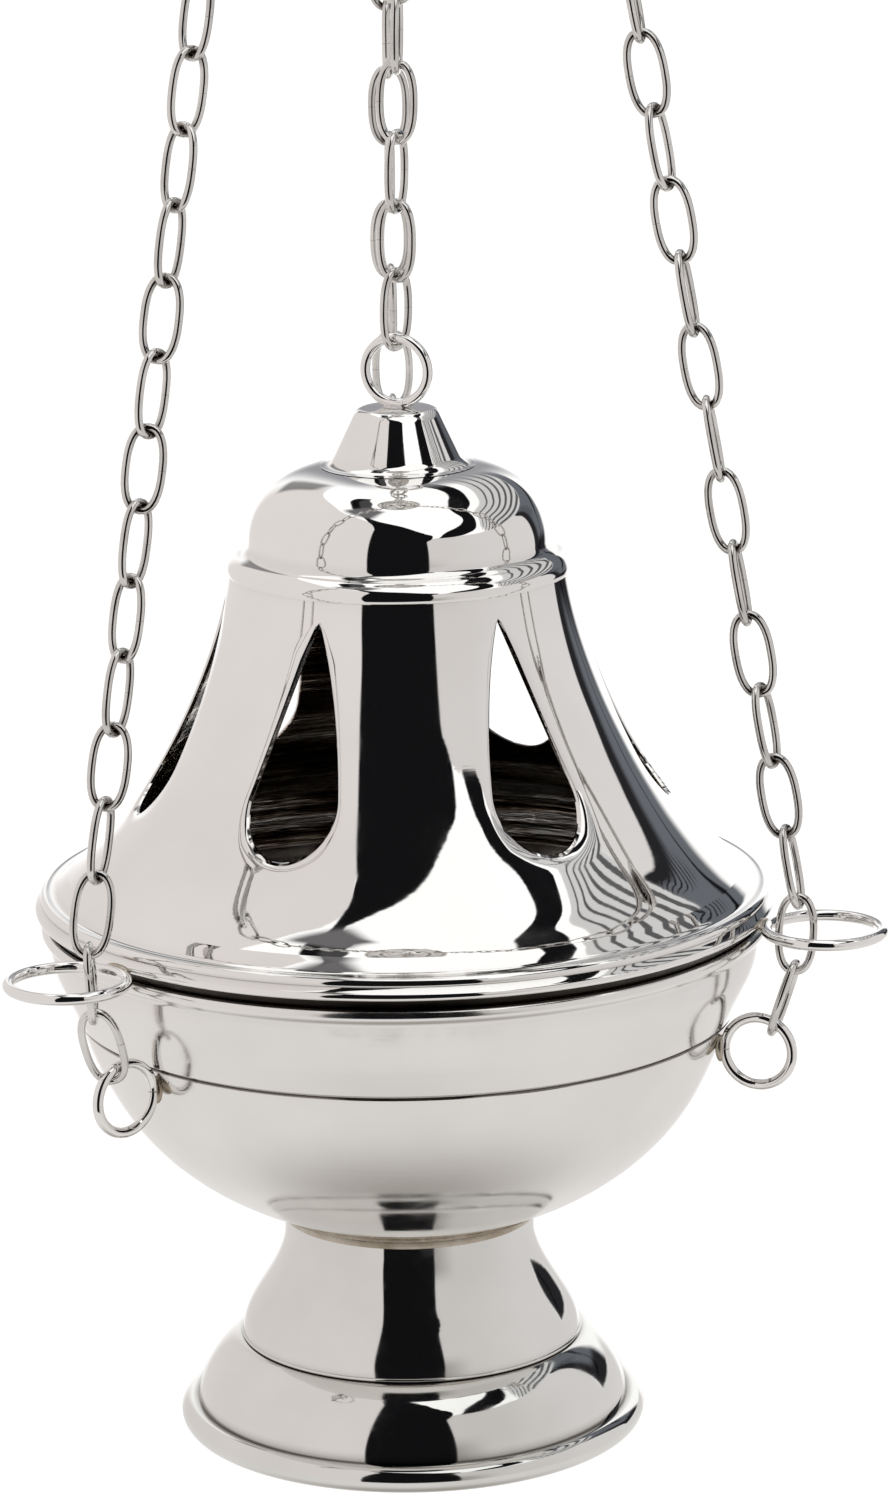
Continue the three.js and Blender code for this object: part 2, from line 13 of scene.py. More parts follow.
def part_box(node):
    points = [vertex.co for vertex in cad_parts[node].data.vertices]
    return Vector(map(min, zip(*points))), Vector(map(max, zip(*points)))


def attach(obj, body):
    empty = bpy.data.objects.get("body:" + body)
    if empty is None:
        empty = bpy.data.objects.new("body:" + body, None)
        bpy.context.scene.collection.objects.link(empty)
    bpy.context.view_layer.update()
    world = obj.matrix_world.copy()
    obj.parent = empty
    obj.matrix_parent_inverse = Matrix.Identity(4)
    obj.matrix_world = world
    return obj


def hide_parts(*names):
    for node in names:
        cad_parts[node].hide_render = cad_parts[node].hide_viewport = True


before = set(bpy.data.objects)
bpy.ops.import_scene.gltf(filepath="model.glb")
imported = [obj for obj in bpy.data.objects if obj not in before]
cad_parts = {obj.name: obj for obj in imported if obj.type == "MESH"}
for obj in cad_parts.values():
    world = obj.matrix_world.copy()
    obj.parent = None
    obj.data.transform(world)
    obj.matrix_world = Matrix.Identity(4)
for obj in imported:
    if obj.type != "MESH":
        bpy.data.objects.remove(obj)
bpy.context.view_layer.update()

MM = 0.001
# The level of the frame's origin, the middle of the hanging ring
HANG = -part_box("foot_shell")[0][2] / MM
WALL = 1.0
TURN = 144
TINY = 1e-6
UP = Vector((0, 0, 1))
AZIMUTHS = {"left": -138.0, "right": -19.3, "back": 90.7}
# Pieces that touch stand this far apart
CLEAR = 0.3

# The camera that the photograph's ellipses give, in pixels, degrees, millimetres and metres
PHOTO = (893, 1500)
FOCAL, PRINCIPAL = 5600.5, (402.53, 752.78)
PITCH, ROLL = 13.558, -0.924
AIM_LEVEL, DISTANCE = 131.83, 1.0558
SENSOR = 36


def rad(degrees):
    return math.radians(degrees)


def at(radius, azimuth, level):
    return Vector((radius * math.cos(azimuth), radius * math.sin(azimuth), level))


def spin(axis, degrees):
    return Matrix.Rotation(rad(degrees), 4, axis)


def shift(x, y, z):
    return Matrix.Translation((x, y, z))


def make_camera():
    pitch, roll = rad(PITCH), rad(ROLL)
    target = Vector((0, 0, AIM_LEVEL - HANG)) * MM
    look = Vector((0, math.cos(pitch), -math.sin(pitch)))
    level_right, level_up = Vector((1, 0, 0)), Vector((0, math.sin(pitch), math.cos(pitch)))
    right = math.cos(roll) * level_right + math.sin(roll) * level_up
    up = -math.sin(roll) * level_right + math.cos(roll) * level_up
    data = bpy.data.cameras.new("camera")
    data.sensor_width = SENSOR
    data.lens = FOCAL / PHOTO[1] * SENSOR
    data.shift_x = (PHOTO[0] / 2 - PRINCIPAL[0]) / PHOTO[1]
    data.shift_y = (PRINCIPAL[1] - PHOTO[1] / 2) / PHOTO[1]
    data.clip_start, data.clip_end = 0.05, 50
    camera = bpy.data.objects.new("camera", data)
    basis = Matrix((right, up, -look)).transposed().to_4x4()
    camera.matrix_world = Matrix.Translation(target - look * DISTANCE) @ basis
    bpy.context.collection.objects.link(camera)
    bpy.context.scene.camera = camera


make_camera()


# Meshes with exact normals

class Skin:
    """Points in millimetres, and faces with the normal at each of their corners."""

    def __init__(self):
        self.points, self.faces, self.normals, self.slots = [], [], [], []

    def point(self, place):
        self.points.append(Vector(place))
        return len(self.points) - 1

    def face(self, corners, normals, slot=0):
        self.faces.append(list(corners))
        self.normals.extend(normals)
        self.slots.append(slot)

    def strip(self, low, high, slot=0, flip=False):
        """Faces between two closed rows of (point, normal)."""
        for k in range(len(low)):
            n = (k + 1) % len(low)
            spots = [low[k], high[k], high[n], low[n]]
            if flip:
                spots.reverse()
            self.face(*zip(*spots), slot)

    def moved(self, matrix):
        other = Skin()
        turn = matrix.to_3x3()
        other.points = [matrix @ p for p in self.points]
        other.faces = [list(f) for f in self.faces]
        other.normals = [(turn @ n).normalized() for n in self.normals]
        other.slots = list(self.slots)
        return other

    def take(self, other):
        start = len(self.points)
        self.points.extend(other.points)
        self.faces.extend([[i + start for i in f] for f in other.faces])
        self.normals.extend(other.normals)
        self.slots.extend(other.slots)


def piece(name, skin, body, materials, replaces=()):
    mesh = bpy.data.meshes.new(name)
    mesh.from_pydata([(p.x * MM, p.y * MM, (p.z - HANG) * MM) for p in skin.points], [], skin.faces)
    for material in materials:
        mesh.materials.append(material)
    mesh.polygons.foreach_set("use_smooth", [True] * len(mesh.polygons))
    mesh.polygons.foreach_set("material_index", skin.slots)
    mesh.normals_split_custom_set([tuple(n) for n in skin.normals])
    mesh.update()
    obj = bpy.data.objects.new(name, mesh)
    bpy.context.collection.objects.link(obj)
    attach(obj, body)
    if replaces:
        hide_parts(*replaces)


def slope_normal(a, b):
    step = (b[0] - a[0], b[1] - a[1])
    size = math.hypot(*step) or 1.0
    return (step[1] / size, -step[0] / size)


def corner_normals(outline, closed, crease=38):
    """For each run of the outline, the normals at its start and end, rounded where the bend is slight."""
    runs = [slope_normal(a, b) for a, b in zip(outline, outline[1:])]
    result = []
    for i, here in enumerate(runs):
        ends = []
        for j in (i - 1, i + 1):
            there = runs[j % len(runs)] if closed or 0 <= j < len(runs) else here
            if here[0] * there[0] + here[1] * there[1] < math.cos(rad(crease)):
                there = here
            mean = (here[0] + there[0], here[1] + there[1])
            size = math.hypot(*mean)
            ends.append((mean[0] / size, mean[1] / size))
        result.append(ends)
    return result


def turned(outline, steps=TURN, skin=None, slots=None):
    """Turns an outline of (radius, level) about the axis. It runs up the outside and down the inside."""
    skin = skin or Skin()
    closed = math.dist(outline[0], outline[-1]) < TINY
    rings = []
    for radius, level in outline[:-1] if closed else outline:
        if radius < TINY:
            rings.append([skin.point((0, 0, level))] * steps)
        else:
            rings.append([skin.point(at(radius, math.tau * k / steps, level)) for k in range(steps)])
    if closed:
        rings.append(rings[0])
    for i, (low, high) in enumerate(corner_normals(outline, closed)):
        slot = slots(outline[i], outline[i + 1]) if slots else 0
        for k in range(steps):
            n = (k + 1) % steps
            a, b = math.tau * k / steps, math.tau * (k + 1) / steps
            corners = [rings[i][k], rings[i][n], rings[i + 1][n], rings[i + 1][k]]
            normals = [at(out, turn, up) for (out, up), turn in ((low, a), (low, b), (high, b), (high, a))]
            if rings[i][k] == rings[i][n]:
                corners, normals = corners[1:], normals[1:]
            elif rings[i + 1][k] == rings[i + 1][n]:
                corners, normals = corners[:3], normals[:3]
            skin.face(corners, normals, slot)
    return skin


def bezier(a, b, c, d, steps):
    points = []
    for i in range(steps + 1):
        t = i / steps
        u = 1 - t
        shares = (u**3, 3 * u * u * t, 3 * u * t * t, t**3)
        points.append(tuple(sum(share * p[j] for share, p in zip(shares, (a, b, c, d))) for j in (0, 1)))
    return points


def toward(point, lean, reach):
    """The point at a reach from another one, where the way there leans up from level."""
    return (point[0] + reach * math.cos(rad(lean)), point[1] + reach * math.sin(rad(lean)))


def arc(centre, level, size, start, end, steps):
    return [toward((centre, level), start + (end - start) * i / steps, size) for i in range(steps + 1)]


def offset(points, distance):
    moved = []
    for i, here in enumerate(points):
        n = slope_normal(points[max(i - 1, 0)], points[min(i + 1, len(points) - 1)])
        moved.append((here[0] - n[0] * distance, here[1] - n[1] * distance))
    return moved


def tube(path, radius, sides, closed=False):
    """A wire along a level path. An open one has flat ends with rounded edges."""
    flat_share, end_reach = 0.8, 0.14
    skin = Skin()
    count = len(path)
    turns = [math.tau * k / sides for k in range(sides)]
    rings = []
    for i, here in enumerate(path):
        before = path[(i - 1) % count] if closed or i else here
        after = path[(i + 1) % count] if closed or i < count - 1 else here
        along = (after - before).normalized()
        side = along.cross(UP).normalized()
        other = side.cross(along)
        normals = [side * math.cos(turn) + other * math.sin(turn) for turn in turns]
        rings.append([(skin.point(here + n * radius), n) for n in normals])
    for low, high in zip(rings, rings[1:] + (rings[:1] if closed else [])):
        skin.strip(low, high)
    for end, neighbour in () if closed else ((0, 1), (-1, -2)):
        outward = (path[end] - path[neighbour]).normalized()
        tip = path[end] + outward * radius * end_reach
        flat = [skin.point(tip + n * radius * flat_share) for _, n in rings[end]]
        eased = [(n + outward).normalized() for _, n in rings[end]]
        skin.strip(rings[end], list(zip(flat, eased)), flip=not end)
        skin.face(flat[::-1] if end else flat, [outward] * sides)
    return skin


def ring(outer, wire, gap=0.0, steps=72, sides=16, seam=0.0):
    """A wire ring lying flat about the origin. A gap leaves its ends apart at the seam's azimuth."""
    radius = outer - wire / 2
    if not gap:
        path = [at(radius, math.tau * k / steps, 0) for k in range(steps)]
        return tube(path, wire / 2, sides, closed=True)
    half = gap / 2 / radius
    path = [at(radius, rad(seam) + half + (math.tau - 2 * half) * k / steps, 0) for k in range(steps + 1)]
    return tube(path, wire / 2, sides)


def blob(centre, across, along, up, seed):
    """A small lump of solder, slightly uneven, with its three half sizes."""
    frequency, phase, height = (1, 3), (0, 6.28), (0.02, 0.05)
    rows, columns = 12, 20
    skin = Skin()
    rng = random.Random(seed)
    waves = [(rng.uniform(*frequency), rng.uniform(*phase), rng.uniform(*height)) for _ in range(3)]
    halves = [Vector(half) for half in ((across, 0, 0), (0, along, 0), (0, 0, up))]
    grid = []
    for i in range(rows + 1):
        line = []
        for k in range(columns if 0 < i < rows else 1):
            theta, phi = math.pi * i / rows, math.tau * k / columns
            swell = 1 + sum(s * math.sin(f * phi + o) * math.sin(theta) for f, o, s in waves)
            n = Vector((math.sin(theta) * math.cos(phi), math.sin(theta) * math.sin(phi), math.cos(theta)))
            spot = skin.point(centre + sum((half * n[j] for j, half in enumerate(halves)), Vector()) * swell)
            line.append((spot, Vector((n.x / across, n.y / along, n.z / up)).normalized()))
        grid.append(line)
    for low, high in zip(grid[1:-2], grid[2:-1]):
        skin.strip(low, high)
    for k in range(columns):
        n = (k + 1) % columns
        for corners in ([grid[0][0], grid[1][k], grid[1][n]], [grid[-2][k], grid[-1][0], grid[-2][n]]):
            skin.face(*zip(*corners))
    return skin


# Materials

# Painted shade and grime darken crevices within this reach, in metres, and from one share of open sky to
# another
CREVICE_REACH, CREVICE_OPEN = 0.0022, (0.45, 0.92)
# The colour of the painted shade and grime in crevices
GRIME_AND_SHADE = (0.10, 0.078, 0.058)
# How far fine turning lines and broad waves can raise the face, in metres
LINE_HEIGHT, WAVE_HEIGHT, STREAK_HEIGHT = 0.00003, 0.0006, 0.0034
LINE_SCALE = 900
# Noise is stretched round the axis by its low scale across and its high scale along it
STREAK_STRETCH = (9, 9, 210)
# Dark sooty browns, then pale and white stops that are painted highlights along the streaks
SOOT_AND_HIGHLIGHTS = [
    (0.46, (0.036, 0.025, 0.019)), (0.50, (0.16, 0.11, 0.08)), (0.535, (0.70, 0.60, 0.50)),
    (0.58, (1.0, 0.98, 0.95)),
]


def feed(tree, made, inputs):
    """Sets a node's inputs. Each takes a number, a colour or what another node gives."""
    for key, value in inputs.items():
        if isinstance(value, bpy.types.NodeSocket):
            tree.links.new(value, made.inputs[key])
        else:
            made.inputs[key].default_value = value
    return made


def node(tree, kind, inputs=None, **values):
    made = tree.nodes.new(kind)
    for key, value in values.items():
        setattr(made, key, value)
    return feed(tree, made, inputs or {})


def math_node(tree, operation, *values):
    return node(tree, "ShaderNodeMath", dict(enumerate(values)), operation=operation).outputs[0]


def noise(tree, place, scale, detail, **inputs):
    inputs = {"Vector": place, "Scale": scale, "Detail": detail, **inputs}
    return node(tree, "ShaderNodeTexNoise", inputs).outputs["Fac"]


def carried(tree, value, source, target=(0.0, 1.0), **values):
    """A value carried from one range over to another."""
    inputs = {"Value": value, "From Min": source[0], "From Max": source[1]}
    inputs.update({"To Min": target[0], "To Max": target[1]})
    return node(tree, "ShaderNodeMapRange", inputs, **values).outputs["Result"]


def tinted(tree, value, stops):
    """A colour for each value, from stops of (value, colour)."""
    made = node(tree, "ShaderNodeValToRGB", {"Fac": value})
    elements = made.color_ramp.elements
    for i in (0, -1):
        elements[i].position, elements[i].color = stops[i][0], (*stops[i][1], 1)
    for spot, colour in stops[1:-1]:
        elements.new(spot).color = (*colour, 1)
    return made.outputs["Color"]


def painted(tree, below, over, mask):
    """One colour laid over another where the mask is 1."""
    colours = [(*value, 1) if isinstance(value, tuple) else value for value in (below, over)]
    inputs = {"A": colours[0], "B": colours[1], "Factor": mask}
    return node(tree, "ShaderNodeMix", inputs, data_type="RGBA").outputs["Result"]


def bumped(tree, height, strength, reach, **inputs):
    inputs = {"Height": height, "Strength": strength, "Distance": reach, **inputs}
    return node(tree, "ShaderNodeBump", inputs).outputs["Normal"]


def new_material(name):
    material = bpy.data.materials.new(name)
    material.use_nodes = True
    return material, material.node_tree, material.node_tree.nodes["Principled BSDF"]


def plated(name, dark, light, rough, ripple=0.06, grain=0.10, scale=60.0):
    """Polished plate: cloudy, with painted shade and grime in crevices, wiped smears, turning lines and slight
    waves.
    """
    material, tree, shader = new_material(name)
    place = node(tree, "ShaderNodeTexCoord").outputs["Object"]
    cloud = noise(tree, place, scale * 0.5, 4)
    smear = noise(tree, place, scale * 2.2, 6, Distortion=1.2)
    wave = noise(tree, place, scale, 1)
    # Painted shade and grime: ambient occlusion darkens the colour where little open sky is seen
    crevice = node(tree, "ShaderNodeAmbientOcclusion", {"Distance": CREVICE_REACH}, samples=6, only_local=True)
    open_share = carried(tree, crevice.outputs["AO"], CREVICE_OPEN)
    tint = tinted(tree, cloud, [(0.3, dark), (0.7, light)])

    # Turning lines follow the distance from the axis and the level
    apart = node(tree, "ShaderNodeSeparateXYZ", {"Vector": place}).outputs
    flat = node(tree, "ShaderNodeCombineXYZ", {"X": apart["X"], "Y": apart["Y"]}).outputs["Vector"]
    radius = node(tree, "ShaderNodeVectorMath", {0: flat}, operation="LENGTH").outputs["Value"]
    profile = node(tree, "ShaderNodeCombineXYZ", {"X": radius, "Z": apart["Z"]}).outputs["Vector"]
    fine = bumped(tree, noise(tree, profile, LINE_SCALE, 3), grain, LINE_HEIGHT)
    feed(tree, shader, {
        "Metallic": 1.0,
        "Base Color": painted(tree, GRIME_AND_SHADE, tint, open_share),
        "Roughness": carried(tree, smear, (0.35, 0.75), rough),
        "Normal": bumped(tree, wave, ripple, WAVE_HEIGHT, Normal=fine),
    })
    return material


def tarred_with_highlights(name):
    """Glossy brown sooty spun plate, streaked round the axis, with painted highlights along the streaks."""
    material, tree, shader = new_material(name)
    place = node(tree, "ShaderNodeTexCoord").outputs["Object"]
    stretched = node(tree, "ShaderNodeVectorMath", {0: place, 1: STREAK_STRETCH}, operation="MULTIPLY")
    streak = noise(tree, stretched.outputs["Vector"], 1.0, 5, Roughness=0.62)
    cloud = noise(tree, place, 38, 4)
    soot_and_highlight = math_node(tree, "MULTIPLY_ADD", cloud, 0.25, math_node(tree, "MULTIPLY", streak, 0.75))
    feed(tree, shader, {
        "Metallic": 0.9,
        "Base Color": tinted(tree, soot_and_highlight, SOOT_AND_HIGHLIGHTS),
        "Roughness": carried(tree, cloud, (0.35, 0.7), (0.10, 0.24)),
        "Normal": bumped(tree, streak, 1.0, STREAK_HEIGHT),
    })
    return material


mirror = plated("mirror_nickel", (0.80, 0.785, 0.765), (0.86, 0.85, 0.835), (0.015, 0.06), ripple=0.2)
foot_nickel = plated(
    "foot_nickel", (0.69, 0.688, 0.665), (0.79, 0.785, 0.765), (0.03, 0.10), ripple=0.25, grain=0.2)
satin = plated("soft_nickel", (0.77, 0.755, 0.735), (0.84, 0.83, 0.81), (0.09, 0.19), ripple=0.10, grain=0.35)
wire_nickel = plated(
    "wire_nickel", (0.58, 0.565, 0.545), (0.76, 0.745, 0.725), (0.04, 0.13), ripple=0.18, scale=260.0)
# Sooty inner plate, with painted highlights in its streaks
smoked_highlit = tarred_with_highlights("smoked_inside_highlit")
inside = plated("bowl_inside", (0.20, 0.16, 0.12), (0.42, 0.38, 0.33), (0.18, 0.42), ripple=0.2, grain=0.5)
solder = plated("old_solder", (0.33, 0.27, 0.20), (0.58, 0.53, 0.46), (0.22, 0.45), ripple=0.5, scale=300.0)
# Near-black painted shade for the spigot and ledge in the gap between lid and bowl
rim_gap_shade = plated("rim_gap_shade", (0.006, 0.005, 0.004), (0.03, 0.024, 0.02), (0.25, 0.45), ripple=0.2, grain=0.5)
pan_steel = plated(
    "scorched_steel", (0.06, 0.05, 0.045), (0.20, 0.17, 0.15), (0.30, 0.60), ripple=0.2, grain=0.6)


def polished(name, skin, body, replaced):
    piece(name, skin, body, [mirror], [replaced])


def soldered(name, skin, body):
    piece(name, skin, body, [solder])


def chained(name, skin, body, replaced):
    piece(name, skin, body, [wire_nickel], [replaced])


# Foot, bowl and pan

FOOT_R, FOOT_BEAD = 44.7, 2.6
STEM_R, STEM_TOP = 24.2, 43.2
BOWL_BOTTOM = 43.5
BOWL_RIM = 99.9
BOWL_R, BOWL_BEAD = 69.0, 1.35
GROOVE = (62.3, 82.4)
PAN_WALL = 0.9


def foot():
    centre = FOOT_R - FOOT_BEAD
    skirt = bezier((41.3, 5.0), (41.3, 11.1), (35.1, 18.0), (32.5, 18.0), 18)
    flare = bezier((32.5, 18.8), (32.5, 25.8), (STEM_R, 31.2), (STEM_R, 39.5), 24)
    outside = [
        *arc(centre, FOOT_BEAD, FOOT_BEAD, -86, 88, 14), (41.34, 5.1), *skirt[1:-1],
        *arc(32.45, 18.4, 0.38, -80, 80, 5), *flare[1:], (STEM_R, STEM_TOP),
    ]
    within = [
        (STEM_R - WALL, STEM_TOP), *offset(flare, WALL)[::-1], *offset(skirt, WALL)[::-1],
        *arc(centre, FOOT_BEAD, FOOT_BEAD, 172, 266, 8),
    ]

    def slots(a, b):
        down_inside = max(a[0], b[0]) < centre - 1 and b[1] < a[1]
        return 1 if down_inside or a[0] <= STEM_R - WALL + 0.1 else 0

    skin = turned([*outside, *within, outside[0]], slots=slots)
    piece("foot_spun", skin, "bowl", [foot_nickel, inside], ["foot_shell"])
    fillet = [
        (24.25, 41.6), *bezier((24.28, 41.7), (24.5, 42.8), (25.2, 43.35), (26.6, 43.75), 8),
        (26.0, 44.2), (24.25, 43.4), (24.25, 41.6),
    ]
    soldered("foot_solder", turned(fillet), "bowl")


def bowl():
    start = (24.4, BOWL_BOTTOM)
    side = bezier(start, toward(start, 19.2, 24.9), toward(GROOVE, 74.2, -16.5), GROOVE, 40)
    groove = [(62.15, 82.62), (61.9, 82.85), (61.95, 83.1), (62.4, 83.3)]
    bands = [
        (62.9, 83.45), (64.9, 88.0), (66.75, 92.3), (67.2, 94.3), (67.5, 96.2), (67.72, 97.6), (67.85, 98.3),
    ]
    outline = [
        (0, BOWL_BOTTOM), *side, *groove, *bands,
        *arc(BOWL_R - BOWL_BEAD, BOWL_RIM, BOWL_BEAD, -62, 180, 20),
        *offset(bands, WALL)[::-1], *offset(side, WALL)[::-1], (0, BOWL_BOTTOM + WALL),
    ]

    def slots(a, b):
        in_mouth = a[0] < 66.4 and b[1] < a[1] + TINY
        return 1 if in_mouth and (a[1] > 60 or b[0] < a[0]) else 0

    piece("bowl_spun", turned(outline, slots=slots), "bowl", [satin, inside], ["bowl_shell"])


def pan():
    low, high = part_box("charcoal_pan")
    base, mouth = low[2] / MM + HANG, high[2] / MM + HANG
    wall = bezier((26.0, base), (32.0, base + 1.5), (37.0, mouth - 8), (39.0, mouth - 1.2), 16)
    outline = [
        (0, base), *wall, *arc(39.7, mouth - 0.8, 0.75, -70, 150, 8), *offset(wall, PAN_WALL)[::-1],
        (0, base + PAN_WALL),
    ]
    piece("pan_spun", turned(outline, 96), "pan", [pan_steel], ["charcoal_pan"])


# Lid

LID_RIM = 103.85
LID_R = 70.02
RIM_BEAD = 0.85
SHOULDER = 167.15
DOME_R, DOME_FOOT = 28.4, 172.45
LID_TOP = 187.45
BELL_FOOT, BELL_TOP = (LID_R - 6.45, LID_RIM + 5.7), (32.1, SHOULDER)
# The spigot stands in the bowl's mouth with play
SPIGOT, SPIGOT_DEPTH = BOWL_R - 2 * BOWL_BEAD - 0.45, 3.0
# The neck seen in the photograph ends higher than the solid one, on which the ring stands
NECK_HEIGHT, NECK_EXTRA = 9.4, 1.1
LID_RING_R, LID_RING_WIRE = 7.1, 1.9

HOLE_AZIMUTHS = [-117, -57, 2, 61, 129, 186]
HOLE_BORDERS = [-145, -87.5, -27.5, 32.5, 95, 157.5, 215]
HOLE_BOTTOM, HOLE_HEIGHT, HOLE_R = LID_RIM + 18.6, 40.5, 8.7
# Where a hole's round end turns into its sides, and how far the sides' bend lies from there
HOLE_LEAN, HOLE_PULL = 12.6, 18.4
SIDE_STEPS, ROUND_STEPS = 160, 80
# Steps up a hole's borders, rings of faces round it, their crowding toward it, and its eased edge
RISE_STEPS, HOLE_RINGS, CROWDING, EASE = 48, 14, 1.25, 0.38
# The wall's shading turns into the hole by these angles, ring by ring
CURL = (34, 19, 9, 3)


def bell_curve():
    near_foot, near_top = toward(BELL_FOOT, 180 - 26.9, 13.9), toward(BELL_TOP, -83.3, 19.5)
    return bezier(BELL_FOOT, near_foot, near_top, BELL_TOP, 240)


class Wall:
    """The bell's outer or inner face: its radius and normal at a level."""

    def __init__(self, points, flip):
        self.points = sorted(points, key=lambda p: p[1])
        self.levels = [p[1] for p in self.points]
        self.flip = flip

    def radius(self, level):
        i = min(max(bisect.bisect(self.levels, level), 1), len(self.levels) - 1)
        a, b = self.points[i - 1], self.points[i]
        return a[0] + (b[0] - a[0]) * (level - a[1]) / (b[1] - a[1])

    def normal(self, azimuth, level):
        low, high = max(level - 0.5, self.levels[0]), min(level + 0.5, self.levels[-1])
        n = slope_normal((self.radius(low), low), (self.radius(high), high))
        return at(n[0], azimuth, n[1]) * (-1 if self.flip else 1)


def teardrop(count, grow=0.0):
    """Points round a smoke hole from its tip, sunwise, grown outward, as (across, level, way out)."""
    middle = (0.0, HOLE_BOTTOM + HOLE_R)
    tip = (0.0, HOLE_BOTTOM + HOLE_HEIGHT)
    side = toward(middle, HOLE_LEAN, HOLE_R)
    bend = toward(side, HOLE_LEAN + 90, HOLE_PULL)
    right = []
    for i in range(SIDE_STEPS + 1):
        t = i / SIDE_STEPS
        u = 1 - t
        right.append(tuple(u * u * tip[j] + 2 * u * t * bend[j] + t * t * side[j] for j in (0, 1)))
    right += arc(*middle, HOLE_R, HOLE_LEAN, -90, ROUND_STEPS)[1:]
    loop = right + [(-x, z) for x, z in right[-2:0:-1]]
    closed = loop + loop[:1]
    lengths = [0.0]
    for a, b in zip(closed, closed[1:]):
        lengths.append(lengths[-1] + math.dist(a, b))
    points = []
    for k in range(count):
        goal = lengths[-1] * k / count
        i = min(bisect.bisect(lengths, goal), len(lengths) - 1)
        a, b = closed[i - 1], closed[i]
        t = (goal - lengths[i - 1]) / (lengths[i] - lengths[i - 1])
        points.append((a[0] + (b[0] - a[0]) * t, a[1] + (b[1] - a[1]) * t))
    grown = []
    for k, here in enumerate(points):
        before, after = points[k - 1], points[(k + 1) % count]
        step = (after[0] - before[0], after[1] - before[1])
        size = math.hypot(*step)
        out = (-step[1] / size, step[0] / size)
        grown.append((here[0] + out[0] * grow, here[1] + out[1] * grow, out))
    return grown


def frame_round(azimuth, first, last, low, high):
    """Points round a hole's share of the wall, from above the hole, as (azimuth before the hole, level)."""
    step = 360 / TURN
    start = round(azimuth / step) * step
    toward_first, toward_last = round((start - first) / step), round((last - start) / step)
    left, right = azimuth - first, azimuth - last
    climb = [(high - low) * k / RISE_STEPS for k in range(RISE_STEPS)]
    return [
        *[(azimuth - start + k * step, high) for k in range(toward_first)],
        *[(left, high - part) for part in climb],
        *[(left - k * step, low) for k in range(toward_first + toward_last)],
        *[(right, low + part) for part in climb],
        *[(right + k * step, high) for k in range(toward_last)],
    ]


def bell(skin, outer, inner):
    walls = [Wall(outer, False), Wall(inner, True)]
    for azimuth, first, last in zip(HOLE_AZIMUTHS, HOLE_BORDERS, HOLE_BORDERS[1:]):
        middle = rad(azimuth)
        across, out = Vector((math.sin(middle), -math.cos(middle), 0)), at(1, middle, 0)
        lips = []
        for which, wall in enumerate(walls):
            border = frame_round(azimuth, first, last, wall.levels[0], wall.levels[-1])
            count = len(border)
            hole = teardrop(count, EASE)
            grid = []
            for r in range(HOLE_RINGS + 1):
                t = (r / HOLE_RINGS) ** CROWDING
                tilt = rad(CURL[r]) if r < len(CURL) and not which else 0
                line = []
                for (x, z, n), (before, height) in zip(hole, border):
                    start = math.asin(x / wall.radius(z))
                    turn = middle - (start + (rad(before) - start) * t)
                    level = z + (height - z) * t
                    inward = across * -n[0] - UP * n[1]
                    normal = wall.normal(turn, level) * math.cos(tilt) + inward * math.sin(tilt)
                    line.append((skin.point(at(wall.radius(level), turn, level)), normal.normalized()))
                grid.append(line)
            for near, far in zip(grid, grid[1:]):
                skin.strip(near, far, which, flip=bool(which))
            lips.append(grid[0])
        rows = [lips[0]]
        for wall, sink in zip(walls, (-EASE, EASE)):
            row = []
            for x, z, n in teardrop(count):
                reach = math.sqrt(wall.radius(z) ** 2 - x * x) + sink
                facing = (across * -n[0] - UP * n[1]).normalized()
                row.append((skin.point(across * x + out * reach + UP * z), facing))
            rows.append(row)
        rows.append(lips[1])
        for i, (low, high) in enumerate(zip(rows, rows[1:])):
            if i == 0:
                mixed = [(a[1] + b[1]).normalized() for a, b in zip(low, high)]
                low, high = [[(spot[0], n) for spot, n in zip(row, mixed)] for row in (low, high)]
            skin.strip(low, high, 0 if i < 2 else 1, flip=True)


